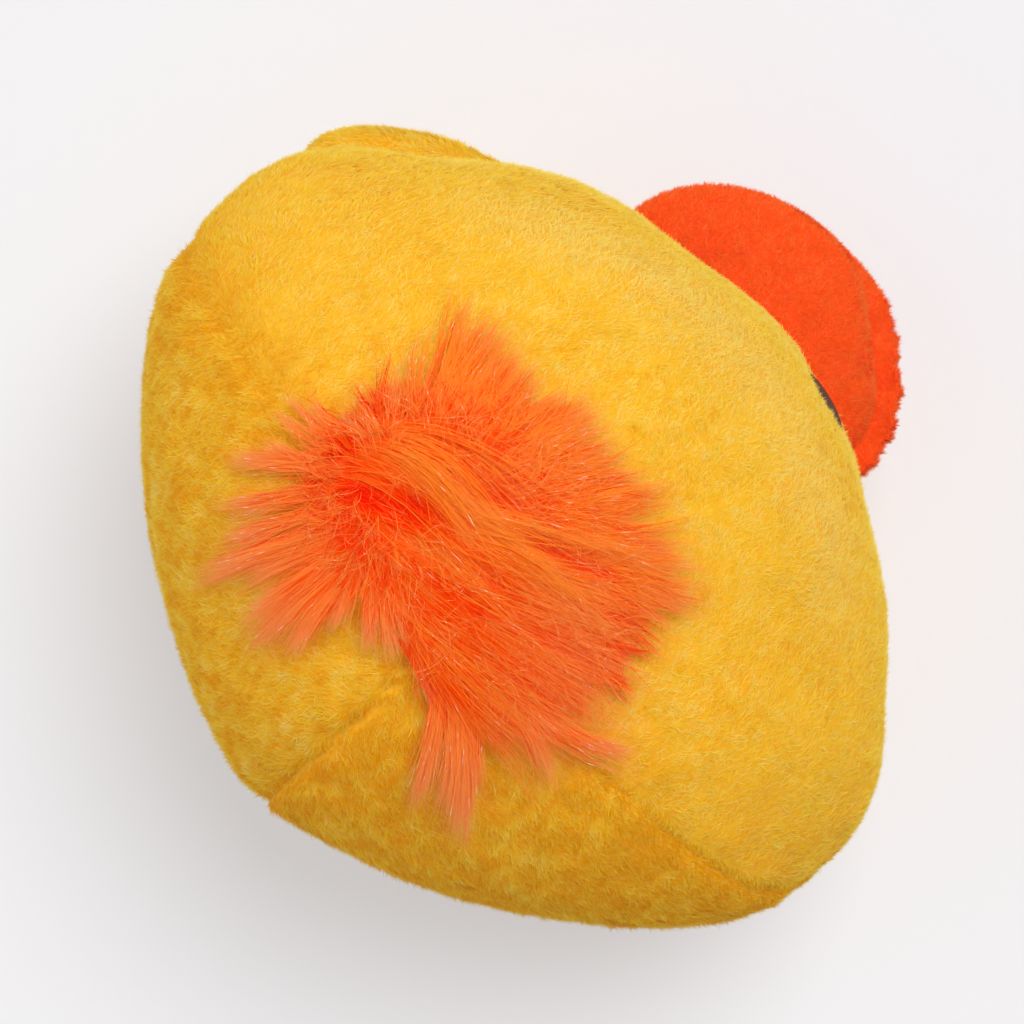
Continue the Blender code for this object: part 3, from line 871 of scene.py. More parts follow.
BILL_WIDTH = 48.6 * MM
BILL_LENGTH = 16.0 * MM
BILL_TUCK = 3.5 * MM
BILL_HEIGHT = 30.0 * MM
BILL_UPPER_PUFF = 9.5 * MM
BILL_LOWER_PUFF = 7.5 * MM
BILL_FULLNESS = 2.3
BILL_ROLL = math.radians(8)
BILL_DROOP = math.radians(6)
FLANGE_WIDTH = 3.5 * MM
FLEECE_THICKNESS = 1.2 * MM
FLANGE_SCALLOPS = 60
FLANGE_FALL = math.radians(-62)
FLANGE_RISE = math.radians(14)
BILL_LEFT_SPARE = 1.4 * MM
BILL_RIGHT_SPARE = 1.4 * MM
BILL_TIP_SPARE = 1.8 * MM
FUZZ_ALLOWANCE = 0.7 * MM
FUZZ_LENGTH = 0.95 * MM
FUZZ_WIDTH = 0.12 * MM
FUZZ_LEAN = 0.95


def bill_place():
    """The bill's seam plane, from its root inside the face, its tip drooped and one side up."""
    root = Matrix.Translation(Vector(face_spot(0.0, BILL_HEIGHT)) + Vector((0.0, BILL_TUCK, 0.0)))
    return root @ Matrix.Rotation(BILL_DROOP, 4, "X") @ Matrix.Rotation(BILL_ROLL, 4, "Y")


def placed(points, place):
    matrix = np.array(place)
    return points @ matrix[:3, :3].T + matrix[:3, 3]


def bill_half(name, side, puff, fleece):
    """One half, from its crown out over the puffed cloth to the flange and round the flange's rim."""
    columns = 220
    azimuth = np.linspace(0, 2 * math.pi, columns, endpoint=False)
    left = fade((1 + np.cos(azimuth)) / 2, 0.12, 0.50)
    right = fade(-np.cos(azimuth), 0.45, 1.0)
    margin = FLANGE_WIDTH + FUZZ_ALLOWANCE
    inner_x = BILL_WIDTH / 2 - margin + BILL_LEFT_SPARE * left + BILL_RIGHT_SPARE * right
    inner_y = BILL_LENGTH + BILL_TUCK - margin + BILL_TIP_SPARE * left
    overhang = (0.4 + 1.5 * left) * MM if side > 0 else 0.3 * MM * np.ones(columns)
    tilt = FLANGE_FALL * left + FLANGE_RISE * (1 - left)
    scallop = (np.cos(FLANGE_SCALLOPS * azimuth) + 0.8 * np.cos(23 * azimuth + 1)) * (1 - left)
    ruffle = 0.40 * MM * np.sin(18 * azimuth) + 0.2 * MM * np.sin(31 * azimuth + 2)
    rows = []
    for climb in np.linspace(math.radians(88), 0, 24):
        share, lift = (turn(climb) ** (2 / BILL_FULLNESS) for turn in (math.cos, math.sin))
        rows.append((share, 0.0, lift, climb))
    for step in (0.12, 0.35, 0.6, 0.82, 0.94):
        rows.append((1.0, step, 0.0, 0.0))
    rim = []
    for angle in np.linspace(math.radians(80), 0, 5):
        rim.append((0.94 + 0.12 * math.cos(angle), 0.15 * MM + FLEECE_THICKNESS * 0.95 * math.sin(angle)))
    rim.append((0.3, 0.12 * MM))
    points = []

    def add_ring(share, edge, rise, bulge):
        out = FLANGE_WIDTH * edge * np.cos(tilt) + edge**2 * 0.25 * MM * scallop + bulge
        height = side * rise + edge * FLANGE_WIDTH * np.sin(tilt) + ruffle * edge
        x, y = np.cos(azimuth) * (inner_x * share + out), np.sin(azimuth) * (inner_y * share + out)
        points.append(np.stack([x, y, height * np.ones(columns)], axis=1))

    for share, edge, lift, climb in rows:
        rise = lift * (puff - FUZZ_ALLOWANCE) + FLEECE_THICKNESS
        add_ring(share, edge, rise, overhang * math.sin(min(math.pi, 5 * climb)))
    for edge, rise in rim:
        add_ring(1.0, edge, rise, 0.0)
    points = np.concatenate(points)
    faces = [list(range(columns))]
    for row in range(len(rows) + len(rim) - 1):
        for column in range(columns):
            beside = (column + 1) % columns
            a, b = row * columns + column, row * columns + beside
            faces.append([a, a + columns, b + columns, b])
    if side < 0:
        faces = [face[::-1] for face in faces]
    half = new_piece(name, placed(points, bill_place()), faces)
    half.data.materials.append(fleece)
    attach(half, "root")
    return half


def fleece_pile(base, count, finish, seed):
    """Short soft fibres of the fleece, brushed towards the bill's tip in small swirls, paler on its steep
    sides as a painted sheen."""
    points, normals = scatter(base.data, fewer(count), seed, outside_body)
    swirl = wave_vectors(points, 2.5 * MM, seed + 2) + [0.0, -1.0, 0.0]
    tones = 0.42 + waves(points, 0.45 * MM, seed + 6) * 0.14 + waves(points, 0.9 * MM, seed + 4) * 0.08
    # Painted sheen: paler the steeper the surface.
    tones = tones + waves(points, 3 * MM, seed + 5) * 0.05 + 0.7 * (1 - np.abs(normals[:, 2])) ** 1.5
    fuzz = brushed_pile(
        base.name + "_fuzz", points, normals, swirl, FUZZ_LENGTH, wider(FUZZ_WIDTH), FUZZ_LEAN, tones,
        finish, seed, mess=0.9,
    )
    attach(fuzz, "root")


def outside_body(points):
    """1 where a point is outside the body's surface, 0 inside it."""
    share = dome_share(points[:, 2])
    fullness, depth = girth_shape(points[:, 0], points[:, 1] > SIDE_SEAM_Y)
    a = np.abs(points[:, 0]) / (BODY_WIDTH / 2 * np.maximum(share, 1e-6))
    b = np.abs(points[:, 1] - SIDE_SEAM_Y) / (depth * np.maximum(share, 1e-6))
    return (a**fullness + b**fullness > 0.96).astype(float)


# Eyes: satin-stitched discs

EYE_THREADS = 34
THREAD_SIDES = 8
FACE_ROUND_ACROSS = 46 * MM
FACE_ROUND_UP = 60 * MM


def make_eye(name, node, side, thread):
    """Threads laid side by side over a low dome that follows the face."""
    spot = eye_spot(side)
    step = EYE_WIDTH / 4
    beside = face_spot(side * EYE_SPREAD + step, eye_height(side)) - spot
    above = face_spot(side * EYE_SPREAD, eye_height(side) + step) - spot
    right = unit(beside)
    out = unit(np.cross(right, above))
    out = out if out[1] < 0 else -out
    up = np.cross(right, out)
    up = up if up[2] > 0 else -up
    radius = EYE_WIDTH / 2
    thick = 0.5 * EYE_WIDTH / EYE_THREADS * 1.12
    around = np.linspace(0, 2 * math.pi, THREAD_SIDES, endpoint=False)
    points, faces = [], []

    def lay_thread(middles):
        start = len(points)
        for middle in middles:
            for angle in around:
                points.append(middle + (out * math.sin(angle) + right * math.cos(angle)) * thick)
        for k in range(len(middles) - 1):
            for j in range(THREAD_SIDES):
                a, b = (start + THREAD_SIDES * k + corner % THREAD_SIDES for corner in (j, j + 1))
                faces.append([a, b, b + THREAD_SIDES, a + THREAD_SIDES])
        faces.append(list(range(start, start + THREAD_SIDES))[::-1])
        faces.append(list(range(len(points) - THREAD_SIDES, len(points))))

    def dome(x, z):
        share = np.clip((x * x + z * z) / radius**2, 0, 1)
        lift = EYE_BULGE * math.sqrt(1 - share) - EYE_DIMPLES[side]
        bend = -(x * x) / (2 * FACE_ROUND_ACROSS) - (z * z) / (2 * FACE_ROUND_UP)
        return spot + right * x + up * z + out * (lift + bend)

    rng = np.random.default_rng(70 + side)
    for index in range(EYE_THREADS):
        x = (index + 0.5) / EYE_THREADS * 2 - 1
        x = x * radius * 0.97
        reach = math.sqrt(radius**2 - x * x)
        zs = np.linspace(-1, 1, 15) * reach * rng.uniform(0.97, 1.02)
        lay_thread([dome(x + 0.03 * MM * math.sin(9 * z / radius + index), z) for z in zs])
    eye = new_piece(name, points, faces)
    form = bmesh.new()
    form.from_mesh(eye.data)
    bmesh.ops.recalc_face_normals(form, faces=form.faces[:])
    form.to_mesh(eye.data)
    form.free()
    eye.data.materials.append(thread)
    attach(eye, "root")
    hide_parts(node)


# Wings

WING_LENGTH = 29 * MM
WING_HEIGHT = 26 * MM
WING_ROOT_THICKNESS = 1.9 * MM
WING_ROOT_AZIMUTH = math.radians(49)
WING_STAND_OFF = -0.6 * MM
WING_TAPER = 0.6
WING_DOMING = 0.8
WING_PUFF = 0.5 * MM
WING_FIBRES = 16000
WING_FIBRE_LENGTH = 1.5 * MM
WING_FIBRE_WIDTH = 0.13 * MM

# Each wing: side, height of its root, droop and swelling
WINGS = {
    "left": (1, 37.5 * MM, math.radians(4), 3.2 * MM),
    "right": (-1, 32 * MM, math.radians(46), 2.4 * MM),
}


def flank_points(side, azimuth, height):
    """Points of the flank at azimuths in front of the side seam, and heights."""
    share = dome_share(height)
    x = side * power(np.cos(azimuth), 2 / FACE_FULLNESS) * share * BODY_WIDTH / 2
    y = SIDE_SEAM_Y - power(np.sin(azimuth), 2 / FACE_FULLNESS) * share * FACE_DEPTH
    swell = flank_swell(side, azimuth, share)
    return np.stack([x + swell[:, 0], y + swell[:, 1], height], axis=1)


def make_wing(which, backing, pile):
    """A stuffed stub wing along the flank, under pile, with its seam round the edge."""
    side, root_height, droop, swelling = WINGS[which]
    ways, faces = round_block(15)
    run = (1 + ways[:, 0]) / 2
    taper = 1 - WING_TAPER * (1 - run)
    back = run * WING_LENGTH
    up = ways[:, 2] * WING_HEIGHT / 2 * taper
    turn = (back * math.cos(droop) + up * math.sin(droop)) / ((BODY_WIDTH / 2 + FACE_DEPTH) / 2)
    height = root_height - back * math.sin(droop) + up * math.cos(droop)
    azimuth = WING_ROOT_AZIMUTH - turn
    outwards = np.stack([side * np.cos(azimuth), -np.sin(azimuth), np.zeros(len(ways))], axis=1)
    thickness = WING_ROOT_THICKNESS + swelling * run
    loft = WING_STAND_OFF + thickness * np.maximum(0.0, ways[:, 1]) ** WING_DOMING
    points = flank_points(side, azimuth, height) + outwards * loft[:, None]
    if side > 0:
        faces = [face[::-1] for face in faces]
    wing = new_piece("padded_wing_" + which, points, faces)
    held = ways[:, 1] < 0.12
    stuffed(wing, held, WING_PUFF)
    subdivided(wing)
    wing.data.materials.append(backing)
    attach(wing, "root")
    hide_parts("wing_" + which)
    amount = WING_FIBRES
    spots, normals = scatter(wing.data, amount, 81 + side)
    outwards = unit(spots * [1.0, 1.0, 0.0] - [0.0, SIDE_SEAM_Y, 0.0])
    nap = outwards[:, [1, 0, 2]] * [-side, side, 0.0]
    tones = 0.5 + waves(spots, 2.0 * MM, 33) * 0.12
    cover = brushed_pile(
        "pile_wing_" + which, spots, normals, nap, WING_FIBRE_LENGTH, WING_FIBRE_WIDTH, 1.25, tones, pile,
        500 + side,
    )
    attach(cover, "root")


# Tuft: long fur combed over the crown, its locks placed by how they lie in the photograph

# Each lock: points from root to tip in the photograph, how many fibres, spread at the root in
# millimetres, height of its arch in millimetres, and tone
LEFT_FAN = (
    (((352, 466), (285, 462), (221, 463)), 90, 1.9, 3.0, 0.74),
    (((352, 486), (280, 496), (215, 511)), 90, 1.9, 3.0, 0.68),
    (((358, 500), (285, 522), (218, 549)), 120, 2.0, 3.5, 0.66),
    (((362, 516), (275, 548), (190, 583)), 150, 1.9, 3.5, 0.64),
    (((365, 528), (300, 556), (241, 586)), 120, 1.9, 3.5, 0.58),
    (((367, 536), (300, 580), (240, 624)), 130, 1.9, 3.5, 0.58),
    (((370, 541), (306, 592), (248, 652)), 150, 2.0, 3.5, 0.60),
    (((373, 546), (322, 608), (287, 658)), 120, 1.7, 3.5, 0.56),
    (((376, 546), (348, 596), (327, 633)), 110, 1.7, 3.5, 0.50),
    (((378, 546), (370, 604), (371, 655)), 110, 1.7, 3.5, 0.54),
    (((384, 546), (386, 606), (396, 661)), 110, 1.7, 3.5, 0.54),
    (((392, 546), (400, 600), (409, 644)), 110, 1.9, 3.5, 0.50),
    (((345, 452), (300, 430), (271, 405)), 22, 1.4, 2.5, 0.76),
    (((350, 446), (312, 420), (283, 385)), 22, 1.2, 2.5, 0.74),
    (((355, 442), (326, 420), (305, 399)), 36, 1.7, 2.5, 0.68),
    (((350, 470), (300, 458), (262, 440)), 70, 1.9, 2.5, 0.68),
    (((372, 448), (354, 430), (340, 412)), 50, 2.2, 3.0, 0.70),
    (((384, 446), (370, 420), (362, 398)), 50, 2.4, 3.2, 0.70),
    (((396, 442), (392, 408), (394, 382)), 50, 2.4, 3.2, 0.72),
)
UPPER_FAN = (
    (((405, 430), (404, 372), (412, 316)), 26, 2.4, 3.0, 0.78),
    (((424, 430), (452, 360), (483, 296)), 70, 2.0, 3.5, 0.76),
    (((429, 430), (462, 366), (499, 311)), 150, 2.7, 3.5, 0.66),
    (((440, 440), (478, 385), (515, 334)), 140, 2.6, 3.5, 0.62),
    (((450, 450), (488, 398), (523, 349)), 130, 2.6, 3.5, 0.60),
    (((458, 460), (500, 412), (542, 365)), 130, 2.6, 3.5, 0.58),
    (((466, 470), (520, 425), (575, 384)), 140, 2.6, 3.5, 0.60),
    (((475, 480), (535, 438), (596, 403)), 150, 2.7, 3.5, 0.62),
    (((482, 488), (545, 446), (610, 408)), 130, 2.6, 3.5, 0.68),
    (((486, 495), (555, 463), (623, 435)), 130, 2.6, 3.5, 0.66),
    (((488, 503), (563, 476), (640, 454)), 130, 2.6, 3.5, 0.66),
    (((388, 440), (386, 395), (392, 350)), 20, 2.2, 3.0, 0.74),
)
RIGHT_FAN = (
    (((493, 508), (575, 494), (658, 484)), 150, 2.6, 3.5, 0.68),
    (((500, 512), (590, 503), (679, 502)), 130, 2.6, 3.5, 0.66),
    (((496, 515), (580, 530), (660, 554)), 150, 2.6, 4.0, 0.60),
    (((504, 518), (605, 548), (715, 558)), 150, 2.4, 4.0, 0.70),
    (((510, 522), (610, 545), (704, 555)), 130, 2.6, 4.0, 0.60),
    (((515, 530), (610, 565), (701, 599)), 140, 2.7, 4.0, 0.55),
    (((520, 538), (615, 580), (712, 611)), 140, 2.7, 4.0, 0.58),
    (((525, 545), (610, 590), (684, 625)), 140, 2.7, 4.0, 0.52),
)
RIDGE = (
    (((366, 430), (424, 438), (482, 480), (545, 565)), 130, 2.4, 6.5, 0.60),
    (((354, 444), (408, 456), (465, 500), (540, 585)), 150, 2.4, 6.5, 0.56),
    (((346, 456), (404, 478), (468, 530), (560, 615)), 200, 2.6, 6.0, 0.54),
    (((345, 472), (440, 508), (540, 560), (632, 636)), 190, 2.9, 6.0, 0.58),
    (((352, 488), (430, 532), (535, 590), (648, 641)), 190, 2.9, 6.0, 0.52),
    (((356, 502), (425, 556), (530, 615), (671, 674)), 190, 2.9, 5.5, 0.46),
    (((360, 514), (420, 580), (520, 640), (651, 708)), 190, 2.9, 5.5, 0.42),
    (((366, 526), (415, 600), (510, 662), (634, 752)), 190, 2.9, 5.0, 0.42),
    (((376, 540), (425, 620), (500, 690), (600, 745)), 180, 2.7, 5.0, 0.40),
    (((385, 560), (430, 640), (490, 700), (566, 762)), 150, 2.2, 4.5, 0.42),
    (((396, 580), (438, 655), (486, 706), (532, 742)), 140, 1.9, 4.5, 0.44),
)
LOWER_CLUMP = (
    (((409, 640), (424, 675), (433, 711)), 110, 2.6, 3.0, 0.56),
    (((440, 655), (436, 730), (416, 808)), 130, 1.7, 3.5, 0.74),
    (((449, 658), (452, 740), (440, 822)), 160, 1.7, 3.8, 0.78),
    (((457, 660), (464, 750), (459, 845)), 170, 1.6, 4.0, 0.80),
    (((464, 660), (474, 740), (476, 800)), 90, 1.4, 3.5, 0.74),
    (((445, 650), (425, 740), (400, 824)), 20, 2.0, 3.5, 0.80),
    (((474, 676), (524, 724), (552, 794)), 70, 1.5, 3.5, 0.62),
    (((500, 690), (570, 735), (635, 756)), 140, 2.6, 3.5, 0.66),
    (((490, 680), (530, 712), (560, 745)), 110, 2.2, 3.5, 0.58),
)
DRAWN_LOCKS = LEFT_FAN + LOWER_CLUMP
GUIDES = LEFT_FAN + UPPER_FAN + RIGHT_FAN + RIDGE + LOWER_CLUMP
FUR_THICKNESS = 1.9
UNDERCOAT_LOCKS = 640
UNDERCOAT_FIBRES = 27
LOOSE_HAIRS_END = 1540
COMB_REACH_PX = 16.0

# Crests and hollows of the fur: from, to, reach in the photograph, and how far up or down; the same amount
# also paints the crests paler, as painted light, and the hollows deeper, as painted shade
FUR_RELIEF = (
    ((352, 492), (420, 514), 15, -1.0),
    ((400, 500), (436, 522), 10, -0.6),
    ((342, 532), (352, 545), 10, -0.8),
    ((436, 585), (476, 600), 8, -0.7),
    ((417, 606), (480, 616), 7, -0.6),
    ((470, 493), (520, 504), 8, -0.8),
    ((528, 544), (610, 576), 7, -0.8),
    ((609, 613), (644, 626), 7, -0.6),
    ((532, 628), (573, 652), 8, -0.6),
    ((470, 560), (520, 600), 7, -0.5),
    ((425, 690), (450, 700), 12, -0.7),
    ((385, 428), (482, 512), 12, 0.8),
    ((486, 516), (548, 566), 9, 1.0),
    ((550, 568), (612, 628), 9, 0.8),
    ((497, 518), (634, 552), 7, 0.8),
    ((634, 553), (695, 573), 10, 0.4),
    ((305, 530), (190, 582), 9, 0.7),
    ((305, 470), (224, 505), 9, 0.5),
    ((330, 558), (240, 622), 9, 0.4),
    ((355, 567), (290, 655), 7, 0.3),
    ((440, 700), (450, 840), 14, 0.4),
)
TUFT_OUTLINE = np.array((
    (310, 450), (336, 432), (366, 414), (402, 394), (440, 386), (500, 415), (545, 445), (590, 485),
    (622, 540), (628, 600), (612, 655), (570, 695), (520, 700), (470, 678), (425, 640), (375, 590),
    (335, 560), (310, 535), (298, 490),
), float)
TUFT_CENTRE = TUFT_OUTLINE.mean(0)


def in_photo(points):
    """Where points show in the photograph."""
    away = points - EYE_POINT
    depth = -(away @ TOWARDS)
    x = PHOTO_SIDE / 2 + (away @ RIGHT) / depth * FOCAL_PX
    y = PHOTO_SIDE / 2 - (away @ UP) / depth * FOCAL_PX
    return np.stack([x, y], axis=-1)


def inside_outline(px, outline):
    inside = np.zeros(len(px), bool)
    for (x0, y0), (x1, y1) in zip(outline, np.roll(outline, -1, axis=0)):
        crosses = (y0 > px[:, 1]) != (y1 > px[:, 1])
        at = (x1 - x0) * (px[:, 1] - y0) / np.where(y1 == y0, 1e-9, y1 - y0) + x0
        inside ^= crosses & (px[:, 0] < at)
    return inside


def under_tuft(points):
    """1 where the tuft covers the body, 0 elsewhere."""
    small = TUFT_CENTRE + (TUFT_OUTLINE - TUFT_CENTRE) * 0.85
    return (inside_outline(in_photo(points), small) & (points[:, 2] > 70 * MM)).astype(float)


def along_path(path, shares):
    """Points along a smooth path at shares of its length."""
    path = np.asarray(path, float)
    t = shares[..., None]
    if len(path) == 3:
        a, b, c = path
        bend = 2 * b - (a + c) / 2
        return a * (1 - t) ** 2 + 2 * bend * t * (1 - t) + c * t**2
    a, b, c, d = path
    first = (-5 * a + 18 * b - 9 * c + 2 * d) / 6
    second = (2 * a - 9 * b + 18 * c - 5 * d) / 6
    return a * (1 - t) ** 3 + 3 * first * t * (1 - t) ** 2 + 3 * second * t**2 * (1 - t) + d * t**3


def fur_relief(px):
    """How far the fur rides up in crests, or parts in hollows, at points of the photograph."""
    out = np.zeros(px.shape[:-1])
    for first, last, reach, amount in FUR_RELIEF:
        a, b = np.array(first, float), np.array(last, float)
        share = np.clip((px - a) @ (b - a) / ((b - a) @ (b - a)), 0, 1)
        away = np.linalg.norm(px - a - share[..., None] * (b - a), axis=-1)
        out += amount * np.exp(-((away / reach) ** 2))
    return np.clip(out, -1, 1)


LONGEST_END = 1.12
PALE_LOCK_TONE = 0.63
PAINTED_GLINT_WIDENING = 1.6
FARTHEST_STRAY_PX = 45
FARTHEST_CURL_PX = 60
LOWEST_LAYER = 0.55


def lay_lock(path, count, spread, arch, tone, rng, rows, base=0.0, tip_spread=0.4, per_wisp=16, unruly=1.0):
    """Spines, surface normals, widths and tones of one lock, whose hairs stand together in wisps: some
    drawn to a point, some open. An unruly lock's wisps turn, bend and end more variously."""
    t = np.linspace(0, 1, rows)
    wisps = max(3, round(count / per_wisp))
    own = rng.integers(0, wisps, count)

    def wisp_and_hair(most_wisp, limit, most_hair):
        by_wisp = rng.normal(0, most_wisp * unruly, (wisps, 1)).clip(-limit, limit)[own]
        return by_wisp + rng.normal(0, most_hair, (count, 1))

    lie = rng.normal(0, 0.5, (wisps, 2)).clip(-1.1, 1.1)[own]
    layer = rng.random((wisps, 1))[own]
    angle = wisp_and_hair(0.05, 0.15, 0.016)
    bend = wisp_and_hair(0.08, 0.22, 0.02)
    sway = rng.normal(0, 1.6 * unruly, (wisps, 1))[own]
    phase = rng.uniform(0, 6.3, (wisps, 1))[own]
    openness = (0.07 + 0.33 * rng.random((wisps, 1)) ** 2)[own]
    shortest = LONGEST_END - 0.40 * unruly
    shorter = 0.62 if unruly < 1 else 0.78
    ends = shorter + (1 - shorter) * rng.random(count) ** 0.7
    ends = ends * (shortest + (LONGEST_END - shortest) * rng.random(wisps) ** 0.9)[own]
    spot = rng.normal(0, 0.5, (count, 2)).clip(-1.3, 1.3)
    loose = (rng.random((count, 1)) < 0.22).astype(float)
    stray = loose * rng.normal(0, 20, (count, 1)).clip(-FARTHEST_STRAY_PX, FARTHEST_STRAY_PX) * unruly
    curl = loose * rng.normal(0, 28, (count, 1)).clip(-FARTHEST_CURL_PX, FARTHEST_CURL_PX) * unruly

    shares = t[None, :] * ends[:, None]
    shown = along_path(path, shares)
    heading = unit(np.gradient(shown, axis=1))
    aside = np.stack([-heading[..., 1], heading[..., 0]], axis=-1)
    length = np.linalg.norm(np.diff(along_path(path, np.linspace(0, 1, 9)), axis=0), axis=1).sum()
    narrowing = 1 + (tip_spread - 1) * shares**0.8
    radius = (openness + (0.55 - openness) * (1 - np.minimum(shares, 1)) ** 0.9) * PX_PER_MM
    frizz = np.sin(shares * rng.uniform(8, 18, (count, 1)) + rng.uniform(0, 6.3, (count, 1))) * shares
    sideways = (
        spread * PX_PER_MM * narrowing * lie[:, :1]
        + shares * (length * angle + stray) + shares**2 * (length * bend + curl)
        + sway * np.sin(shares * 5 + phase)
        + radius * spot[:, :1]
        + frizz * rng.uniform(0.2, 0.9, (count, 1)) * (1 + loose)
    )
    shown = shown + aside * sideways[..., None]
    shown = shown + heading * (lie[:, 1:] * spread * PX_PER_MM * (1 - shares))[..., None]
    relief = fur_relief(shown)
    hump = (1 - (1 - np.minimum(shares, 1)) ** 2) ** 0.8 - 0.45 * fade(shares, 0.5, 1.1)
    height = LOWEST_LAYER + (1 - LOWEST_LAYER) * layer
    lift = base + 0.3 + arch * height * hump * (1 + 0.45 * relief)
    lift = lift + radius / PX_PER_MM * spot[:, 1:] * 0.8 + loose * shares * rng.uniform(0, 1.6, (count, 1))
    lift = np.maximum(lift, 0.25) * MM
    spines = on_crown(shown, lift)
    beside = unit(on_crown(shown + aside * 2, lift) - spines)
    bulge = (0.22 * lie[:, :1] + 0.22 * spot[:, :1])[..., None]
    ups = unit(crown_normals(spines) + beside * bulge)
    widths = rng.uniform(0.065, 0.110, count) * MM
    # Painted shade: hairs lower in the lock, by their wisp's layer and their height in it, are deeper in
    # tone.
    tones = tone + (layer[:, 0] - 0.5) * 0.5 + rng.normal(0, 0.17, wisps)[own] + spot[:, 1] * 0.10
    tones = (tones + rng.normal(0, 0.09, count) + loose[:, 0] * 0.15)[:, None]
    # Painted light on the fur's crests and painted shade in its hollows; the ends paler.
    tones = tones + np.where(relief > 0, 0.35, 0.6) * relief + fade(shares, 0.55, 1.0) * 0.22
    tones = np.clip(tones, 0.02, HIGHEST_TONE)
    # Painted highlights: a few hairs, more in pale locks, take a near-white glint and are widened.
    painted_glint_hairs = rng.random(count) < 0.02 + 0.09 * (tone > PALE_LOCK_TONE)
    tones[painted_glint_hairs] = rng.uniform(0.965, 0.998, (count, 1))[painted_glint_hairs]
    widths[painted_glint_hairs] *= PAINTED_GLINT_WIDENING
    return spines, ups, widths, tones


def crown_normals(points):
    """Directions that the dome faces at points over it."""
    step = 0.5 * MM
    x, y = points[..., 0], points[..., 1]
    slope_x = (crown_height(x + step, y) - crown_height(x - step, y)) / (2 * step)
    slope_y = (crown_height(x, y + step) - crown_height(x, y - step)) / (2 * step)
    return unit(np.stack([-slope_x, -slope_y, np.ones_like(slope_x)], axis=-1))


def combed_way():
    """A function for the way the fur is combed at a point of the photograph, from the locks near it."""
    spots, ways = [], []
    for path, *_ in GUIDES:
        at = along_path(path, np.linspace(0, 1, 9))
        spots.append(at[:-1])
        ways.append(unit(np.diff(at, axis=0)))
    spots, ways = np.concatenate(spots), np.concatenate(ways)

    def way(px):
        away = ((px - spots) ** 2).sum(-1)
        weight = np.exp(-away / (2 * COMB_REACH_PX**2)) + 1e-9
        return unit((weight[:, None] * ways).sum(0))

    return way


def followed(way, root, stride, rng, off=0.20):
    """A path of three strides from a root along the way the fur is combed, a little off it."""
    turn = rng.normal(0, off)
    path = [root]
    for _ in range(3):
        x, y = way(path[-1])
        turned = [x * math.cos(turn) - y * math.sin(turn), x * math.sin(turn) + y * math.cos(turn)]
        path.append(path[-1] + np.array(turned) * stride)
        turn += rng.normal(0, off / 2)
    return path


def make_tuft(fur, faded_fur):
    """The tuft's undercoat, its combed locks, the drawn-out locks of paler ends and the loose hairs."""
    way = combed_way()
    rng = np.random.default_rng(7)
    roots = rng.uniform(TUFT_OUTLINE.min(0), TUFT_OUTLINE.max(0), (3000, 2))
    roots = roots[inside_outline(roots, TUFT_OUTLINE)]
    under, over, drawn_out, loose = [], [], [], []
    for root in TUFT_CENTRE + (roots[:UNDERCOAT_LOCKS] - TUFT_CENTRE) * 0.92:
        short = 0.35 + 0.65 * float(fade(root[0], 320, 400) * fade(root[1], 385, 450))
        path = followed(way, root, rng.uniform(14, 28) * short, rng)
        from_centre = np.linalg.norm(root - TUFT_CENTRE)
        arch = 2.6 + 3.0 * near(from_centre, 110) + rng.uniform(-0.6, 0.6)
        tone = rng.uniform(0.12, 0.52) + 0.3 * (1 - float(fade(root[1], 400, 440)))
        under.append(lay_lock(path, fewer(UNDERCOAT_FIBRES), 1.3, arch, tone, rng, 6, per_wisp=9))
    for guide in GUIDES:
        path, count, spread, arch, tone = guide
        amount = fewer(round(count * FUR_THICKNESS))
        if guide in DRAWN_LOCKS:
            drawn_out.append(lay_lock(
                path, amount, spread * 0.8, arch, tone, rng, 8, 0.5, tip_spread=0.12, unruly=0.4
            ))
        else:
            over.append(lay_lock(path, amount, spread, arch, tone, rng, 8, 0.5))
    for root in roots[UNDERCOAT_LOCKS:LOOSE_HAIRS_END]:
        path = followed(way, root, rng.uniform(8, 20), rng, off=0.6)
        spines, ups, widths, tones = lay_lock(
            path, 3, 0.8, rng.uniform(5.0, 8.0), 0.8, rng, 8, 0.8, per_wisp=1
        )
        loose.append((spines, ups, widths * 0.65, tones))
    for name, locks, finish in (
        ("tuft_undercoat", under, fur),
        ("tuft_locks", over, fur),
        ("tuft_drawn_locks", drawn_out, faded_fur),
        ("tuft_loose_hairs", loose, faded_fur),
    ):
        spines, ups, widths, tones = (np.concatenate(parts) for parts in zip(*locks))
        widths = widths * 1.0
        piece = lay_fibres(name, spines, ups, widths, tones, finish, 90, roll=0.25)
        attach(piece, "root")


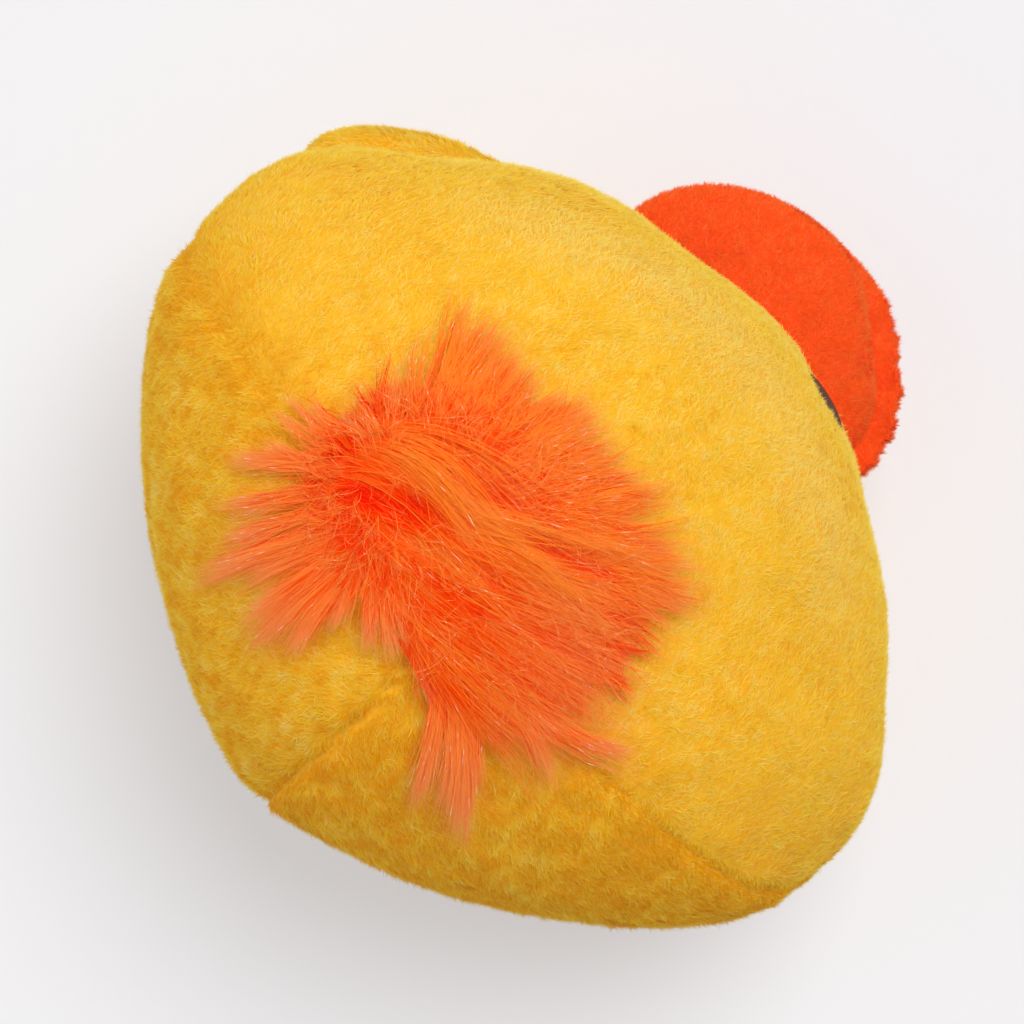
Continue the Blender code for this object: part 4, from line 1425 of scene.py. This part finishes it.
def make_tuft_backing(ground):
    """The knitted ground of the fur patch, which shows where the fur parts."""
    rings, columns = 12, 60
    turns = np.linspace(0, 2 * math.pi, columns, endpoint=False)
    from_centre = TUFT_OUTLINE - TUFT_CENTRE
    edge = np.arctan2(from_centre[:, 1], from_centre[:, 0])
    order = np.argsort(edge)
    far = np.linalg.norm(from_centre, axis=1)
    reach = np.interp(turns, edge[order], far[order], period=2 * math.pi) * 0.9
    ways = np.stack([np.cos(turns), np.sin(turns)], axis=1)
    shown = [TUFT_CENTRE[None]]
    for ring in range(1, rings + 1):
        shown.append(TUFT_CENTRE + ways * (reach * ring / rings)[:, None])
    shown = np.concatenate(shown)
    share = np.concatenate([[0.0], np.repeat(np.arange(1, rings + 1) / rings, columns)])
    plan = np.column_stack([shown / PX_PER_MM * MM, np.zeros(len(shown))])
    points = on_crown(shown, (0.9 - 1.4 * share**6) * MM + waves(plan, 3 * MM, 8) * 0.12 * MM)
    faces = []
    for column in range(columns):
        beside = (column + 1) % columns
        faces.append([0, 1 + beside, 1 + column])
        for ring in range(rings - 1):
            a, b = 1 + ring * columns + column, 1 + ring * columns + beside
            faces.append([a, b, b + columns, a + columns])
    backing = new_piece("tuft_backing", points, faces)
    backing.data.materials.append(ground)
    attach(backing, "root")
    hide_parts("tuft")


# Floor and light

BACKDROP = (0.905, 0.895, 0.905)
SHADOW_RELIEF = 0.38
SKY_COLOUR = (0.985, 0.99, 1.0)
SKY_STRENGTH = 0.36

# Soft lights: turn in the photograph from its right, tilt from the camera's axis, spread, strength
SOFTBOXES = {
    "key": (math.radians(54), math.radians(21), math.radians(30), 1.97),
    "left_fill": (math.radians(168), math.radians(46), math.radians(40), 0.58),
}


def make_floor():
    """A pale floor that shows the camera a share of its plain colour, which keeps the shadow soft."""
    form = bmesh.new()
    bmesh.ops.create_grid(form, x_segments=2, y_segments=2, size=6.0)
    floor = in_scene("floor", bpy.data.meshes.new("floor"))
    form.to_mesh(floor.data)
    form.free()
    paper = Finish("pale_paper", 0.9, Specular_IOR_Level=0.1)
    grain = paper.noise(paper.place(), 30 * MM, 1.0)
    paper.colour(paper.blend(grain, (0.848, 0.850, 0.876), (0.858, 0.860, 0.886)))
    plain = paper.node("ShaderNodeEmission", {}, BACKDROP)
    paper.seen_as("Material Output", paper.camera_rays() * SHADOW_RELIEF, paper.shader.outputs[0], plain)
    floor.data.materials.append(paper.material)


def make_light():
    """The soft boxes, of which only the key casts a shadow, and a pale room behind a plain backdrop."""
    for name, (turn, tilt, spread, strength) in SOFTBOXES.items():
        box = in_scene(name, bpy.data.lights.new(name, "SUN"))
        box.data.energy = strength
        box.data.angle = spread
        box.data.use_shadow = name == "key"
        way = TOWARDS * math.cos(tilt) + (RIGHT * math.cos(turn) + UP * math.sin(turn)) * math.sin(tilt)
        box.rotation_euler = Vector(way).to_track_quat("Z", "Y").to_euler()
    world = bpy.data.worlds.new("studio")
    bpy.context.scene.world = world
    world.use_nodes = True
    room = Mixture(world.node_tree)
    sky = room.tree.nodes["Background"]
    room.put(sky.inputs["Color"], SKY_COLOUR)
    room.put(sky.inputs["Strength"], SKY_STRENGTH)
    plain = room.node("ShaderNodeBackground", {}, BACKDROP)
    room.seen_as("World Output", room.camera_rays(), sky.outputs[0], plain)
    bpy.context.scene.view_settings.view_transform = "Standard"


make_camera()
make_floor()
make_light()

plush_ground = plush_backing("plush_ground", (0.90, 0.40, 0.004), (0.96, 0.52, 0.015), (0.98, 0.62, 0.05))
# Each fibre finish takes deep, middle, pale and tip colours, then a painted glint, a painted highlight,
# then roughness and sheen.
plush_pile = fibre_finish(
    "plush_pile", (0.90, 0.38, 0.001), (0.97, 0.64, 0.024), (0.97, 0.75, 0.16), (0.97, 0.75, 0.13),
    (1.0, 0.84, 0.40), 0.9, 0.05,
)
fleece = fleece_ground("fleece", (0.90, 0.05, 0.003), (0.98, 0.08, 0.008), (1.0, 0.12, 0.02))
fleece_fuzz = fibre_finish(
    "fleece_fuzz", (0.95, 0.07, 0.005), (0.97, 0.105, 0.010), (0.98, 0.20, 0.040), (0.98, 0.18, 0.036),
    (1.0, 0.5, 0.3), 0.9, 0.1, painted_root_shade=0.2, glow=0.04, glow_colour=(1.0, 0.05, 0.005),
)
thread = thread_finish("eye_thread", (0.020, 0.008, 0.005), (0.055, 0.020, 0.011), (0.16, 0.11, 0.10))
fur = fibre_finish(
    "long_fur", (0.93, 0.010, 0.0001), (0.95, 0.078, 0.0002), (0.96, 0.28, 0.022), (0.98, 0.42, 0.12),
    (1.0, 0.94, 0.82), 0.7, 0.0, painted_root_shade=0.45, tip_share=0.8, tip_from=0.76,
    glow=0.072, glow_colour=(1.0, 0.02, 0.0),
)
faded_fur = fibre_finish(
    "faded_long_fur", (0.92, 0.018, 0.0005), (0.95, 0.105, 0.002), (0.96, 0.27, 0.042), (0.97, 0.42, 0.13),
    (1.0, 0.94, 0.82), 0.7, 0.0, painted_root_shade=0.5, tip_share=0.8, tip_from=0.55,
    glow=0.075, glow_colour=(1.0, 0.03, 0.0),
)
fur_ground = plush_backing("fur_ground", (0.90, 0.03, 0.001), (0.97, 0.07, 0.003), (1.0, 0.13, 0.01))

body = make_body(plush_ground)
clothe_body(body, plush_pile)
for which in WINGS:
    make_wing(which, plush_ground, plush_pile)
upper = bill_half("bill_top", 1, BILL_UPPER_PUFF, fleece)
lower = bill_half("bill_underside", -1, BILL_LOWER_PUFF, fleece)
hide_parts("bill_upper", "bill_stuffing")
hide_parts("bill_lower")
fleece_pile(upper, 42000, fleece_fuzz, 60)
fleece_pile(lower, 34000, fleece_fuzz, 65)
make_eye("stitched_eye_left", "eye_left", 1, thread)
make_eye("stitched_eye_right", "eye_right", -1, thread)
make_tuft_backing(fur_ground)
make_tuft(fur, faded_fur)
